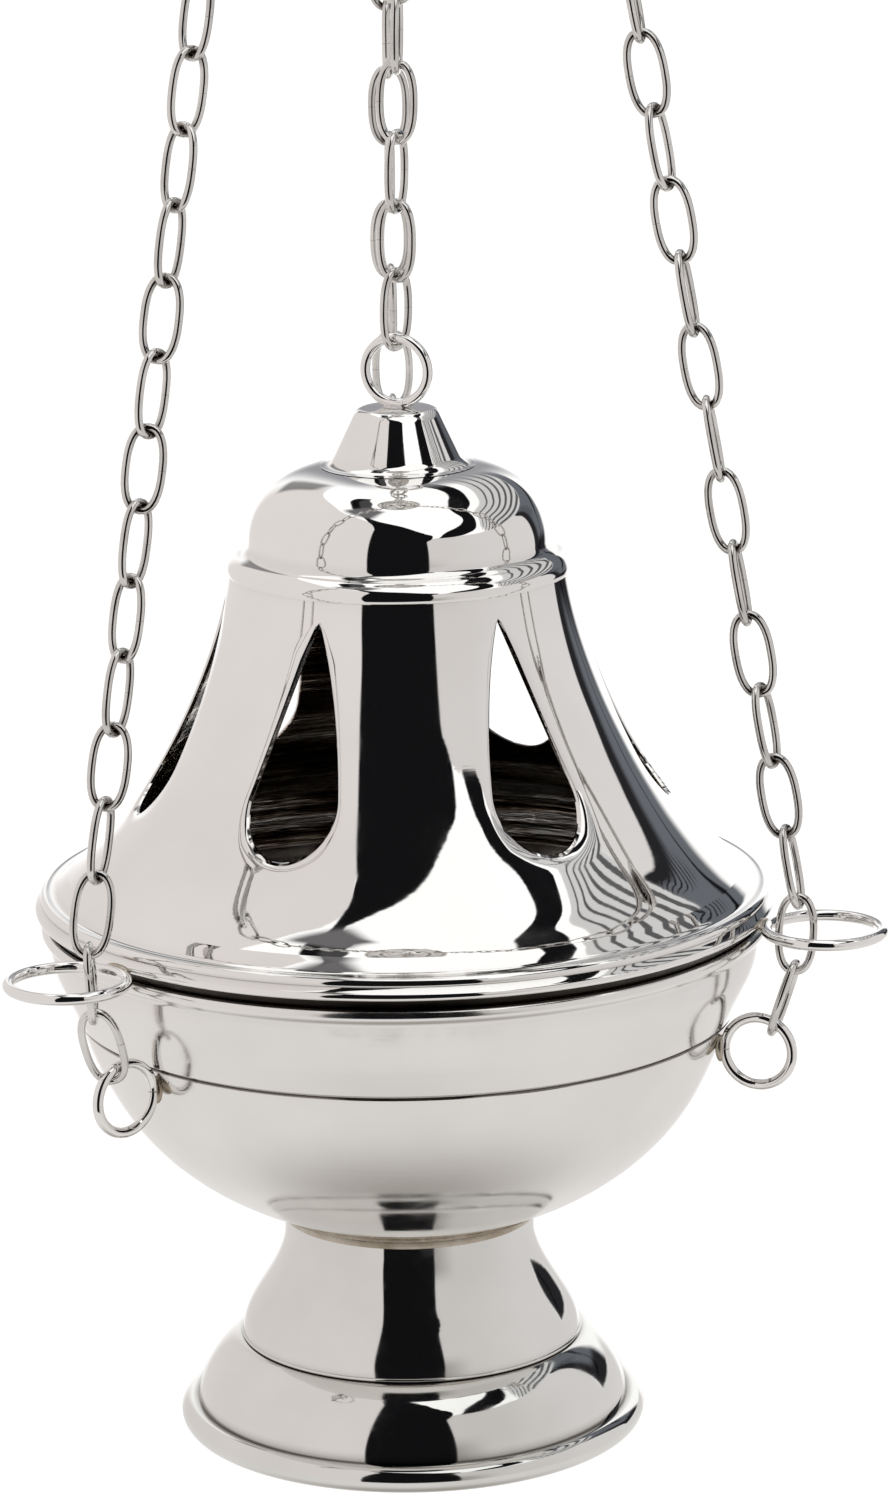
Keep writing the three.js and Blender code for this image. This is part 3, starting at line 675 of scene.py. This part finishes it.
def lid():
    outer = bell_curve()
    inner = offset(outer, WALL)
    ledge = BOWL_RIM + BOWL_BEAD + CLEAR
    tip = ledge - SPIGOT_DEPTH
    lower_r = LID_R - RIM_BEAD
    upper_r = lower_r - 1.3
    below = [
        inner[0], (SPIGOT - 0.9, ledge + WALL), (SPIGOT - 0.9, tip + 0.2), (SPIGOT - 0.7, tip),
        (SPIGOT - 0.2, tip), (SPIGOT, tip + 0.2), (SPIGOT, ledge), (SPIGOT + 2.1, ledge),
        *arc(lower_r, LID_RIM, RIM_BEAD, -100, 62, 14),
        *arc(upper_r, LID_RIM + 2.1, 1.1, -28, 112, 14),
        (LID_R - 3.75, LID_RIM + 3.35), (LID_R - 4.3, LID_RIM + 3.75), (LID_R - 5.6, LID_RIM + 4.95),
        BELL_FOOT,
    ]

    # The spigot's outside, the ledge and the bead's lowest underside take slot 2, the painted shade of the gap
    # between lid and bowl
    def rim_slots(a, b):
        if b[1] > LID_RIM and a[1] > LID_RIM or max(a[0], b[0]) > lower_r + 0.2:
            return 0
        return 1 if a[0] < SPIGOT - 0.01 else 2

    skin = turned(below, slots=rim_slots)
    bell(skin, outer, inner)
    shelf = (30.4, SHOULDER + 3.55)
    dome = bezier((DOME_R, DOME_FOOT), (DOME_R, 180.85), (22.9, LID_TOP - 1.0), (12.2, LID_TOP), 30)
    above = [
        *bezier(BELL_TOP, (32.75, SHOULDER + 1.15), (32.2, SHOULDER + 2.55), shelf, 14),
        *bezier(shelf, (29.5, SHOULDER + 3.95), (28.8, SHOULDER + 4.2), dome[0], 8)[1:-1], *dome, (0, LID_TOP),
    ]
    turned(above, skin=skin)
    beneath = [(0, LID_TOP - WALL), *offset(dome, WALL)[::-1], (DOME_R - WALL, 171.5), inner[-1]]
    turned(beneath, skin=skin, slots=lambda a, b: 1)
    piece("lid_spun", skin, "lid", [mirror, smoked_highlit, rim_gap_shade], ["lid_shell"])

    neck_top = LID_TOP + NECK_HEIGHT
    cup_top = neck_top + NECK_EXTRA
    neck = [
        (0, LID_TOP - 0.15), (14.6, LID_TOP - 0.22),
        *bezier((14.6, LID_TOP - 0.16), (13.4, LID_TOP), (12.4, LID_TOP + 0.55), (11.9, LID_TOP + 1.6), 10)[1:],
        *bezier((8.35, cup_top - 1.6), (7.87, cup_top - 0.6), (7.2, cup_top), (6.0, cup_top), 10), (0, cup_top),
    ]
    polished("lid_neck_turned", turned(neck), "lid", "lid_neck")
    upright = spin("Z", -20) @ spin("X", 90)
    ring_level = neck_top + CLEAR + 0.5 + LID_RING_R
    hoop = ring(LID_RING_R, LID_RING_WIRE, gap=0.12, seam=-76)
    hoop = hoop.moved(shift(0, 0, ring_level) @ upright)
    polished("lid_ring_wire", hoop, "lid", "lid_ring")
    mound = [(0, 0), (2.6, 0.03), (2.0, 0.2), (1.4, 0.45), (0, 0.6)]
    base = turned([(radius, cup_top + rise) for radius, rise in mound], 40)
    piece("lid_ring_solder", base, "lid", [satin])


# Guide rings on the lid, and rings on the bowl

GUIDE_OUT, GUIDE_RING_R, GUIDE_WIRE = 12.13, 11.75, 2.15
HOOP_OUT, HOOP_LEVEL, HOOP_R, HOOP_WIRE = 69.444, 79.0, 7.5, 2.0


def side_rings():
    for side, azimuth in AZIMUTHS.items():
        turn = spin("Z", azimuth)
        place = turn @ shift(LID_R + GUIDE_OUT, 0, LID_RIM - 0.5)
        guide = ring(GUIDE_RING_R, GUIDE_WIRE, gap=0.10, seam=180).moved(place)
        polished(f"{side}_guide_wire", guide, "lid", f"{side}_guide_ring")
        joint = blob(Vector((LID_R + 0.35, 0, LID_RIM - 0.35)), 1.1, 3.1, 1.15, azimuth)
        soldered(f"{side}_guide_solder", joint.moved(turn), "lid")
        place = turn @ shift(HOOP_OUT, 0, HOOP_LEVEL) @ spin("X", 90)
        hoop = ring(HOOP_R, HOOP_WIRE, gap=0.35, seam=180).moved(place)
        polished(f"{side}_bowl_wire", hoop, "bowl", f"{side}_bowl_ring")
        joint = blob(Vector((HOOP_OUT - 7.25, 0, HOOP_LEVEL)), 1.0, 1.5, 2.6, azimuth + 7)
        soldered(f"{side}_bowl_solder", joint.moved(turn), "bowl")


# Chains

LINK_WIDTH, LINK_WIRE = 8.1, 1.5
# The power of the oval, which bows a link's sides
OVAL = 2.45
RUN_LINK, SHORT_LINK = 16.5, 15.9
RUN_LINKS, RUN_PITCH = 20, 13.5
LID_LINKS, LID_PITCH, LID_FIRST = 15, 12.9, 5.35
# An outer chain's places over its azimuth: in the bowl's ring, over the two lowest links, in the cap's eye
HOOK = Vector((72.6942, 0, 84.6292))
BEND = Vector((77.1126, 0, 108.6800))
EYE = Vector((28, 0, 372.4975))
# The two lowest links lean out, in degrees. A link bears on the next this far from its middle, and the
# lowest one's middle and upper part stand this far up from the hook
BOTTOM_LEAN, SECOND_LEAN, LINK_REACH = 18, 3.5, 6.45
BOTTOM_UP, BEND_UP = 5.4, 5.3
LID_HOOK, LID_DRIFT = Vector((0, 0, 210.9)), (3.6, -10.4)
TWIST = {"left": 45, "right": 0, "back": 0}
# How far each link is turned about its chain, beyond the quarter turn from link to link
SWAY = {
    "left": [3, -15, -2, -20, -25, -20, 15, -20, 8, -7, -14, -24, -12, 6, -5, 4, -6, 5, 3, 0],
    "right": [0, 4, -8, 9, 6, -5, 10, -7, 4, 8, -9, 5, 7, -6, 4, -5, 6, 3, -2, 0],
    "back": [0, 6, -5, -9, 8, 4, -7, 5, 9, -6, 3, -8, 6, 4, -5, 7, -4, 2, 3, 0],
}
LID_SWAY = [-24, -9, -10, -4, 6, -5, 4, -6, 3, 5, -4, 6, -3, 2, 0]


def link(length):
    """An oval of wire with slightly bowed sides, butted in the middle of one of them."""
    across, along = (LINK_WIDTH - LINK_WIRE) / 2, (length - LINK_WIRE) / 2
    seam, steps, sides, power = 0.06, 36, 12, 2 / OVAL
    path = [Vector((across, seam, 0))]
    for k in range(1, steps):
        c, s = math.cos(math.tau * k / steps), math.sin(math.tau * k / steps)
        x, y = math.copysign(across * abs(c) ** power, c), math.copysign(along * abs(s) ** power, s)
        path.append(Vector((x, y, 0)))
    path.append(Vector((across, -seam, 0)))
    return tube(path, LINK_WIRE / 2, sides)


RUN_SKIN, SHORT_SKIN = link(RUN_LINK), link(SHORT_LINK)


def placed_link(skin, centre, along, broad_start, turn):
    side = along.cross(broad_start).normalized()
    broad = side.cross(along).normalized()
    broad = broad * math.cos(rad(turn)) + side * math.sin(rad(turn))
    basis = Matrix((broad, along, broad.cross(along))).transposed().to_4x4()
    return skin.moved(Matrix.Translation(centre) @ basis)


def outer_chains():
    bottom_along, second_along = [
        Vector((math.sin(rad(lean)), 0, math.cos(rad(lean)))) for lean in (BOTTOM_LEAN, SECOND_LEAN)
    ]
    bottom = HOOK + bottom_along * BOTTOM_UP
    second = HOOK + bottom_along * (BEND_UP + LINK_REACH) + second_along * LINK_REACH
    run_along = (EYE - BEND).normalized()
    tangential = Vector((0, 1, 0))
    lowest = (("bottom", bottom, bottom_along, 0), ("second", second, second_along, 90))
    for side, azimuth in AZIMUTHS.items():
        turn, twist = spin("Z", azimuth), TWIST[side]
        for name, centre, along, own in lowest:
            skin = placed_link(SHORT_SKIN, centre, along, tangential, twist + own).moved(turn)
            chained(f"{side}_{name}_wire", skin, f"{side}_lower", f"{side}_{name}_link")
        run = Skin()
        for i in range(RUN_LINKS):
            centre = BEND + run_along * (LINK_REACH + i * RUN_PITCH)
            unwound = twist * (1 - (i + 2) / (RUN_LINKS + 1)) + SWAY[side][i]
            run.take(placed_link(RUN_SKIN, centre, run_along, tangential, unwound + 90 * (i % 2)))
        chained(f"{side}_run_wire", run.moved(turn), f"{side}_run", f"{side}_chain_run")


def lid_chain():
    """Makes the chain, and gives its upper end and direction."""
    length = 2 * LID_FIRST + (LID_LINKS - 1) * LID_PITCH
    rise = math.sqrt(length**2 - LID_DRIFT[0] ** 2 - LID_DRIFT[1] ** 2)
    lift = Vector((*LID_DRIFT, LID_HOOK.z + rise))
    along = (lift - LID_HOOK).normalized()
    for i in range(LID_LINKS):
        turn = 70 + 20 * i / (LID_LINKS - 1) + LID_SWAY[i] + 90 * (i % 2)
        centre = LID_HOOK + along * (LID_FIRST + i * LID_PITCH)
        skin = placed_link(SHORT_SKIN, centre, along, Vector((1, 0, 0)), turn)
        chained(f"lid_wire_{i + 1:02d}", skin, "lid", f"lid_link_{i + 1:02d}")
    return lift, along


# Cap and the rings above it

CAP_UNDER, CAP_PLATE = 380.2975, 1.6
FLANGE = CAP_UNDER + CAP_PLATE
CAP_CROWN_R, CAP_BEND_R, CAP_R = 24.5, 7.0, 34.0
# The lid chain runs through the cap's hole this far below its upper end
CAP_HOLE_R, CAP_HOLE_DOWN = 6.0, 20
SIDE_EYE_R, SIDE_EYE_WIRE = 3.2, 1.8
TOP_EYE_R, TOP_EYE_WIRE = 4.6, 2.4
LIFT_R, LIFT_WIRE = 10, 1.9
HANGING_R, HANGING_WIRE = 18, 2.8


def cap_skin(top, hole):
    under, lip = CAP_UNDER, FLANGE - 4.5
    flat, within, edge_in = CAP_CROWN_R - CAP_BEND_R, CAP_CROWN_R - CAP_PLATE, CAP_R - CAP_PLATE
    skin = turned([
        (flat, top - CAP_PLATE), *arc(flat, top - CAP_BEND_R, CAP_BEND_R - CAP_PLATE, 90, 0, 14)[1:],
        (within, under + 0.8), (within + 0.25, under + 0.2), (within + 0.8, under),
        (edge_in - 0.8, under), (edge_in - 0.2, under - 0.2), (edge_in, under - 0.8),
        (edge_in, lip + 0.2), (edge_in + 0.2, lip), (CAP_R - 0.2, lip), (CAP_R, lip + 0.2),
        *arc(edge_in, under, CAP_PLATE, 0, 90, 8),
        (CAP_CROWN_R + 0.8, FLANGE), (CAP_CROWN_R + 0.2, FLANGE + 0.2), (CAP_CROWN_R, FLANGE + 0.8),
        *arc(flat, top - CAP_BEND_R, CAP_BEND_R, 0, 90, 16),
    ])
    rows_out = 6
    ways = [at(1, math.tau * k / TURN, 0) for k in range(TURN)]
    rims = []
    for level, up in ((top, 1), (top - CAP_PLATE, -1)):
        rows = []
        for r in range(rows_out + 1):
            spots = [(hole + way * CAP_HOLE_R).lerp(way * flat, r / rows_out) for way in ways]
            rows.append([(skin.point((spot.x, spot.y, level)), UP * up) for spot in spots])
        for near, far in zip(rows, rows[1:]):
            skin.strip(near, far, flip=up < 0)
        rims.append([(spot, -way) for (spot, _), way in zip(rows[0], ways)])
    skin.strip(*rims, flip=True)
    return skin


def riveted(name, replaced, radius, wire, level, lathes, place):
    """An eye of wire with the turned collar, shank and head that hold it in the cap."""
    upright = shift(0, 0, level) @ spin("Y", 90)
    eye = ring(radius + wire / 2, wire, steps=48, sides=14).moved(upright)
    for lathe in lathes:
        eye.take(turned(lathe, 32))
    polished(name, eye.moved(place), "cap", replaced)


def cap(lift, along):
    top = lift.z - LIFT_WIRE / 2 - CLEAR
    crossing = lift - along * CAP_HOLE_DOWN
    skin = cap_skin(top, Vector((crossing.x, crossing.y, 0)))
    polished("cap_spun", skin, "cap", "cap_plate")

    level = EYE.z + SIDE_EYE_R
    ring_top, collar_top, head = level + SIDE_EYE_R, CAP_UNDER - CLEAR, FLANGE + CLEAR
    lathes = [
        [
            (0, ring_top - 0.5), (1.3, ring_top - 0.3),
            (2.1, collar_top - 0.3), (2.1, collar_top), (0, collar_top),
        ],
        [(0, ring_top), (1.2, ring_top), (1.2, head + 0.3), (0, head + 0.3)],
        [(0, head), (2.1, head), (2.15, head + 0.2), (1.7, head + 0.7), (0.9, head + 0.95), (0, head + 1.0)],
    ]
    for side, azimuth in AZIMUTHS.items():
        place = spin("Z", azimuth) @ shift(EYE.x, 0, 0)
        riveted(f"{side}_eye_riveted", f"{side}_chain_eye", SIDE_EYE_R, SIDE_EYE_WIRE, level, lathes, place)

    foot_level = top + CLEAR + TOP_EYE_WIRE / 2
    level = foot_level + TOP_EYE_R
    base, head = top + CLEAR, top - CAP_PLATE - CLEAR
    lathes = [
        [
            (0, base), (2.5, base), (2.5, base + 0.4),
            (1.9, foot_level), (1.2, foot_level + 0.6), (0, foot_level + 0.8),
        ],
        [(0, head - 0.5), (1.5, head - 0.5), (1.5, base + 0.2), (0, base + 0.2)],
        [(0, head - 1.0), (0.9, head - 0.95), (1.9, head - 0.6), (2.5, head - 0.15), (2.5, head), (0, head)],
    ]
    riveted("top_eye_riveted", "cap_eye", TOP_EYE_R, TOP_EYE_WIRE, level, lathes, Matrix.Identity(4))
    place = shift(lift.x, lift.y - LIFT_R + LIFT_WIRE / 2, lift.z)
    lift_hoop = ring(LIFT_R, LIFT_WIRE, gap=0.2, seam=-90).moved(place)
    polished("lift_ring_wire", lift_hoop, "lift_ring", "lift_ring")
    level += TOP_EYE_R - TOP_EYE_WIRE / 2 - CLEAR - HANGING_WIRE + HANGING_R
    upright = shift(0, 0, level) @ spin("X", 90)
    hoop = ring(HANGING_R, HANGING_WIRE, gap=0.2, steps=96, sides=20, seam=-60).moved(upright)
    polished("hanging_ring_wire", hoop, "hanger", "hanging_ring")


foot()
bowl()
pan()
lid()
side_rings()
outer_chains()
cap(*lid_chain())


# Studio

# What stands round the object, drawn on a near sphere about the bell, as (azimuth from the camera's
# side, elevation) in degrees. Each line gives the elevation of an edge
PANEL_TOP = [
    (-180, 45), (-150, 52), (-120, 62), (-90, 65), (-60, 65), (-45, 63.5), (-35, 61), (-28, 57), (-23, 50),
    (20, 36), (24, 35), (31, 35.8), (36, 35.4), (46, 34.8), (54, 33.6), (60, 33), (118, 31), (180, 31),
]
ARC_BOTTOM = [
    (-180, 84), (-152, 74), (-140, 69), (-105, 71.5), (-80, 71), (-60, 69), (-45, 65.5), (-35, 61), (-28, 57),
    (-22, 50), (180, 40),
]
ARC_TOP = [
    (-180, 70), (-152, 73), (-140, 75.5), (-130, 78), (-105, 79.5), (-80, 79.5), (-62, 78), (-47, 72),
    (-40, 67.5), (-30, 65), (-15, 62), (0, 58), (10, 53), (18, 47), (26, 41), (29, 38.5), (31, 37), (180, 30),
]
BAND_TOP = [
    (-180, 80), (27, 39), (31.2, 35.4), (32.6, 36), (36.3, 39.4), (38.5, 41), (43, 43.2), (50, 45.4), (60, 49),
    (70, 55), (77, 64), (85, 68), (100, 70.5), (120, 70), (140, 66), (165, 58), (180, 52),
]
BAND_BOTTOM = [
    (-180, 80), (29, 38), (31.5, 35.4), (35, 34.8), (46, 34.2), (60, 36), (68, 39), (72, 42.5), (77, 47.5),
    (85, 55), (90, 59), (100, 60.5), (120, 60.5), (137, 59.5), (165, 52), (180, 46),
]
WINDOW_BAR = [(-180, -60), (131, 0), (134, 8), (136, 14), (139, 17.5), (147, 21), (160, 23), (180, 24)]
# These lines run up instead, as (elevation, azimuth)
GAP_RIGHT = [(-180, 21.5), (31, 21.5), (35, 26.0), (39.5, 27.5), (42, 24.5), (44.5, 21.5), (180, 21.5)]
WINDOW_LEFT = [(-180, 121.5), (-10, 121.5), (10, 120), (25, 118), (31, 112), (180, 112)]
WINDOW_RIGHT = [(-180, 141), (7, 142), (15, 146), (20, 153), (31, 170), (180, 170)]
# Azimuths of the gap between the panels, the dark band's start and the open side past the window
GAP_LEFT, GAP_END, BAND_START, OPEN_SIDE = -24, 21.5, 31, 152
# Elevations of the window's ends and the table's far edge
WINDOW_LOW, WINDOW_HIGH, TABLE_EDGE = -10, 31, -29
# Waves of the slats and bars, in radians per degree, and how the bars widen downward
SLAT_RATE, BAR_RATE, BAR_GROWTH = 2.6, 1.65, 0.035

PALE_LEFT, PALE_NEAR, PALE_FAR = (0.835, 0.795, 0.78), (0.74, 0.715, 0.705), (0.81, 0.79, 0.785)
DARK, SHADE, BRIGHT = (0.007, 0.007, 0.008), (0.07, 0.07, 0.072), (1.25, 1.25, 1.25)
WINDOW, WINDOW_CORE = (0.150, 0.162, 0.184), (0.022, 0.022, 0.025)
LATTICE, BARS, TABLE = (0.72, 0.72, 0.72), (0.12, 0.12, 0.125), (0.835, 0.815, 0.80)
HAZE, FAR_WALL = (0.17, 0.165, 0.17), (0.36, 0.36, 0.385)
# The first is the censer's painted shadow on the table, seen only in reflections
TABLE_SHADOW, BESIDE_GAP = (0.42, 0.395, 0.37), (0.43, 0.41, 0.39)

# The sphere's radius in metres, and the level of its middle
STUDIO_RADIUS, STUDIO_LEVEL = 0.45, 118
# The floor lies this far below the hanging censer, in metres
FLOOR_DEPTH, FLOOR_SIZE, FLOOR_GLOW = 0.12, 6, 0.12


class Sky:
    """Masks and colours over the sphere round the object. Angles are in degrees."""

    def __init__(self, tree, azimuth, elevation):
        self.tree, self.azimuth, self.elevation = tree, azimuth, elevation

    def math(self, operation, *values):
        return math_node(self.tree, operation, *values)

    def minus(self, a, b):
        return self.math("SUBTRACT", a, b)

    def past(self, value, limit, soft):
        """0 below the limit and 1 above it, with a soft edge."""
        return carried(self.tree, self.minus(value, limit), (-soft, soft), interpolation_type="SMOOTHSTEP")

    def under(self, value, limit, soft):
        return self.minus(1.0, self.past(value, limit, soft))

    def band(self, value, low, high, soft):
        return self.all_of(self.past(value, low, soft), self.under(value, high, soft))

    def all_of(self, result, *masks):
        for mask in masks:
            result = self.math("MULTIPLY", result, mask)
        return result

    def blend(self, below, over, *masks):
        """One colour laid over another as far as all the masks let it."""
        return painted(self.tree, below, over, self.all_of(*masks))

    def line(self, value, points):
        """The height of a line over a value."""
        made = node(self.tree, "ShaderNodeFloatCurve")
        curve = made.mapping.curves[0]
        places = [((a + 180) / 360, (e + 180) / 360) for a, e in points]
        curve.points[0].location, curve.points[-1].location = places[0], places[-1]
        for place in places[1:-1]:
            curve.points.new(*place)
        for point in curve.points:
            point.handle_type = "AUTO_CLAMPED"
        made.mapping.update()
        feed(self.tree, made, {"Value": self.math("ADD", self.math("DIVIDE", value, 360.0), 0.5)})
        return self.minus(self.math("MULTIPLY", made.outputs["Value"], 360.0), 180.0)

    def panels(self):
        """The pale panels left and right of the camera, and the open side past the window."""
        azimuth, elevation = self.azimuth, self.elevation
        right = self.blend(PALE_NEAR, PALE_FAR, self.past(azimuth, 70, 45))
        right = self.blend(right, BESIDE_GAP, self.under(azimuth, 30, 12), self.under(elevation, 0, 14))
        colour = self.blend(PALE_LEFT, right, self.past(azimuth, 0, 6))
        colour = self.blend(colour, BRIGHT, self.under(azimuth, -158, 8))
        side, level = self.band(azimuth, -162, -151, 2.5), self.band(elevation, 26, 47, 3)
        colour = self.blend(colour, SHADE, side, level, 0.75)
        colour = self.blend(colour, BRIGHT, self.past(azimuth, 121, 2), self.past(elevation, -9, 4))
        return self.blend(colour, BRIGHT, self.past(azimuth, OPEN_SIDE, 4))

    def window(self, colour):
        azimuth, elevation = self.azimuth, self.elevation
        inward = self.minus(azimuth, self.line(elevation, WINDOW_LEFT))
        glass = self.blend(WINDOW_CORE, WINDOW, self.past(inward, 7, 2.5), self.past(elevation, 3, 3))
        slats = self.math("SINE", self.math("MULTIPLY", self.minus(elevation, inward), SLAT_RATE))
        glass = self.blend(
            glass, WINDOW_CORE,
            self.past(slats, 0.5, 0.4), self.past(elevation, 18, 3), self.under(inward, 15, 3),
        )
        over_bar = self.minus(elevation, self.line(azimuth, WINDOW_BAR))
        glass = self.blend(glass, DARK, self.band(over_bar, -1.1, 1.1, 0.7))
        return self.blend(
            colour, glass,
            self.past(inward, 0, 0.8), self.under(azimuth, self.line(elevation, WINDOW_RIGHT), 3),
            self.past(elevation, WINDOW_LOW, 1.2), self.under(elevation, WINDOW_HIGH, 1),
        )

    def over_right(self, colour, panel_top):
        """White over the right panel, then bars, and a dark band above them."""
        azimuth, elevation = self.azimuth, self.elevation
        over_panel = self.all_of(self.past(azimuth, GAP_END, 1), self.past(elevation, panel_top, 0.3))
        below_band = self.minus(self.line(azimuth, BAND_BOTTOM), elevation)
        wave = self.math("SINE", self.math("MULTIPLY_ADD", below_band, BAR_RATE, 1.0))
        wave = self.math("MULTIPLY_ADD", below_band, BAR_GROWTH, wave)
        barred = self.all_of(over_panel, self.past(azimuth, 74, 3), self.past(below_band, 4.5, 0.5))
        colour = self.blend(colour, BRIGHT, over_panel)
        colour = self.blend(colour, LATTICE, barred)
        colour = self.blend(colour, BARS, barred, self.past(wave, 1.0, 0.3))
        return self.blend(colour, DARK, self.past(azimuth, BAND_START, 1.0), self.under(below_band, 0, 0.3))

    def gap_and_arc(self, colour, panel_top):
        """The dark gap between the panels, and the dark arc over the left one, with white above it."""
        azimuth, elevation = self.azimuth, self.elevation
        arc_bottom, arc_top = self.line(azimuth, ARC_BOTTOM), self.line(azimuth, ARC_TOP)
        gap_right = self.line(elevation, GAP_RIGHT)
        past_gap_left, before_gap = self.past(azimuth, GAP_LEFT, 0.6), self.under(azimuth, GAP_LEFT, 1)
        colour = self.blend(colour, DARK, past_gap_left, self.under(azimuth, gap_right, 0.6))
        colour = self.blend(colour, BRIGHT, before_gap, self.past(elevation, panel_top, 0.4))
        low_arc = self.under(self.minus(elevation, arc_bottom), 3.5, 0.8)
        shading = self.blend(SHADE, DARK, self.math("MAXIMUM", low_arc, self.past(azimuth, -45, 5)))
        colour = self.blend(colour, shading, self.under(azimuth, 22, 1), self.past(elevation, arc_bottom, 0.4))
        before_band = self.under(azimuth, BAND_START, 1)
        return self.blend(colour, BRIGHT, before_band, self.past(elevation, arc_top, 0.4))

    def colour(self):
        azimuth, elevation = self.azimuth, self.elevation
        panel_top, band_top = self.line(azimuth, PANEL_TOP), self.line(azimuth, BAND_TOP)
        colour = self.over_right(self.window(self.panels()), panel_top)
        colour = self.gap_and_arc(colour, panel_top)
        colour = self.blend(colour, BRIGHT, self.past(azimuth, 29, 1), self.past(elevation, band_top, 0.4))
        colour = self.blend(colour, HAZE, self.band(azimuth, -90, -36, 8), self.band(elevation, 67, 80, 2))
        behind = self.past(self.math("ABSOLUTE", azimuth), 166, 6)
        colour = self.blend(colour, FAR_WALL, behind, self.band(elevation, 12, 54, 8))
        # Toward the nadir the table darkens: the censer's painted shadow on it, seen only in reflections
        table = self.blend(TABLE_SHADOW, TABLE, self.past(elevation, -69, 19))
        return self.blend(table, colour, self.past(elevation, TABLE_EDGE, 2))


def stage_piece(name, shape, level):
    """An object of the scene that isn't part of the censer, with a material of the same name."""
    mesh = bpy.data.meshes.new(name)
    shape.to_mesh(mesh)
    shape.free()
    obj = bpy.data.objects.new(name, mesh)
    obj.location.z = level
    bpy.context.collection.objects.link(obj)
    material, tree, shader = new_material(name)
    mesh.materials.append(material)
    return obj, tree, shader


def make_studio():
    world = bpy.data.worlds.new("studio")
    bpy.context.scene.world = world
    world.use_nodes = True
    background = world.node_tree.nodes["Background"]
    feed(world.node_tree, background, {"Color": (1, 1, 1, 1), "Strength": 1.0})

    shape = bmesh.new()
    bmesh.ops.create_uvsphere(shape, u_segments=96, v_segments=48, radius=STUDIO_RADIUS)
    sphere, tree, shader = stage_piece("studio_round", shape, (STUDIO_LEVEL - HANG) * MM)
    sphere.active_material.cycles.emission_sampling = "NONE"
    tree.nodes.remove(shader)
    place = node(tree, "ShaderNodeTexCoord").outputs["Object"]
    way = node(tree, "ShaderNodeVectorMath", {0: place}, operation="NORMALIZE").outputs["Vector"]
    apart = node(tree, "ShaderNodeSeparateXYZ", {"Vector": way}).outputs
    front = math_node(tree, "MULTIPLY", apart["Y"], -1.0)
    azimuth = math_node(tree, "MULTIPLY", math_node(tree, "ARCTAN2", apart["X"], front), 180 / math.pi)
    elevation = math_node(tree, "MULTIPLY", math_node(tree, "ARCSINE", apart["Z"]), 180 / math.pi)
    glow = node(tree, "ShaderNodeEmission", {"Color": Sky(tree, azimuth, elevation).colour()})
    feed(tree, tree.nodes["Material Output"], {"Surface": glow.outputs["Emission"]})
    for kind in ("camera", "diffuse", "transmission", "volume_scatter", "shadow"):
        setattr(sphere, f"visible_{kind}", False)


def make_floor():
    shape = bmesh.new()
    bmesh.ops.create_grid(shape, x_segments=1, y_segments=1, size=FLOOR_SIZE)
    floor, tree, shader = stage_piece("floor", shape, -HANG * MM - FLOOR_DEPTH)
    # Only the camera sees its glow, so that it lights nothing
    seen = node(tree, "ShaderNodeLightPath").outputs["Is Camera Ray"]
    feed(tree, shader, {
        "Base Color": (0.93, 0.925, 0.915, 1),
        "Roughness": 0.8,
        "Emission Color": (1, 1, 1, 1),
        "Emission Strength": math_node(tree, "MULTIPLY", seen, FLOOR_GLOW),
    })
    floor.visible_glossy = False


def make_lamp(name, place, aim, size, power):
    data = bpy.data.lights.new(name, "AREA")
    data.shape = "RECTANGLE"
    data.size, data.size_y = size
    data.energy = power
    lamp = bpy.data.objects.new(name, data)
    lamp.location = place
    lamp.rotation_mode = "QUATERNION"
    lamp.rotation_quaternion = (Vector(aim) - Vector(place)).to_track_quat("-Z", "Y")
    bpy.context.collection.objects.link(lamp)


make_studio()
make_floor()
make_lamp("ceiling_softbox", place=(0.5, 0.3, 1.4), aim=(0, 0, -0.3), size=(0.7, 0.7), power=2)
bpy.context.scene.view_settings.view_transform = "Standard"
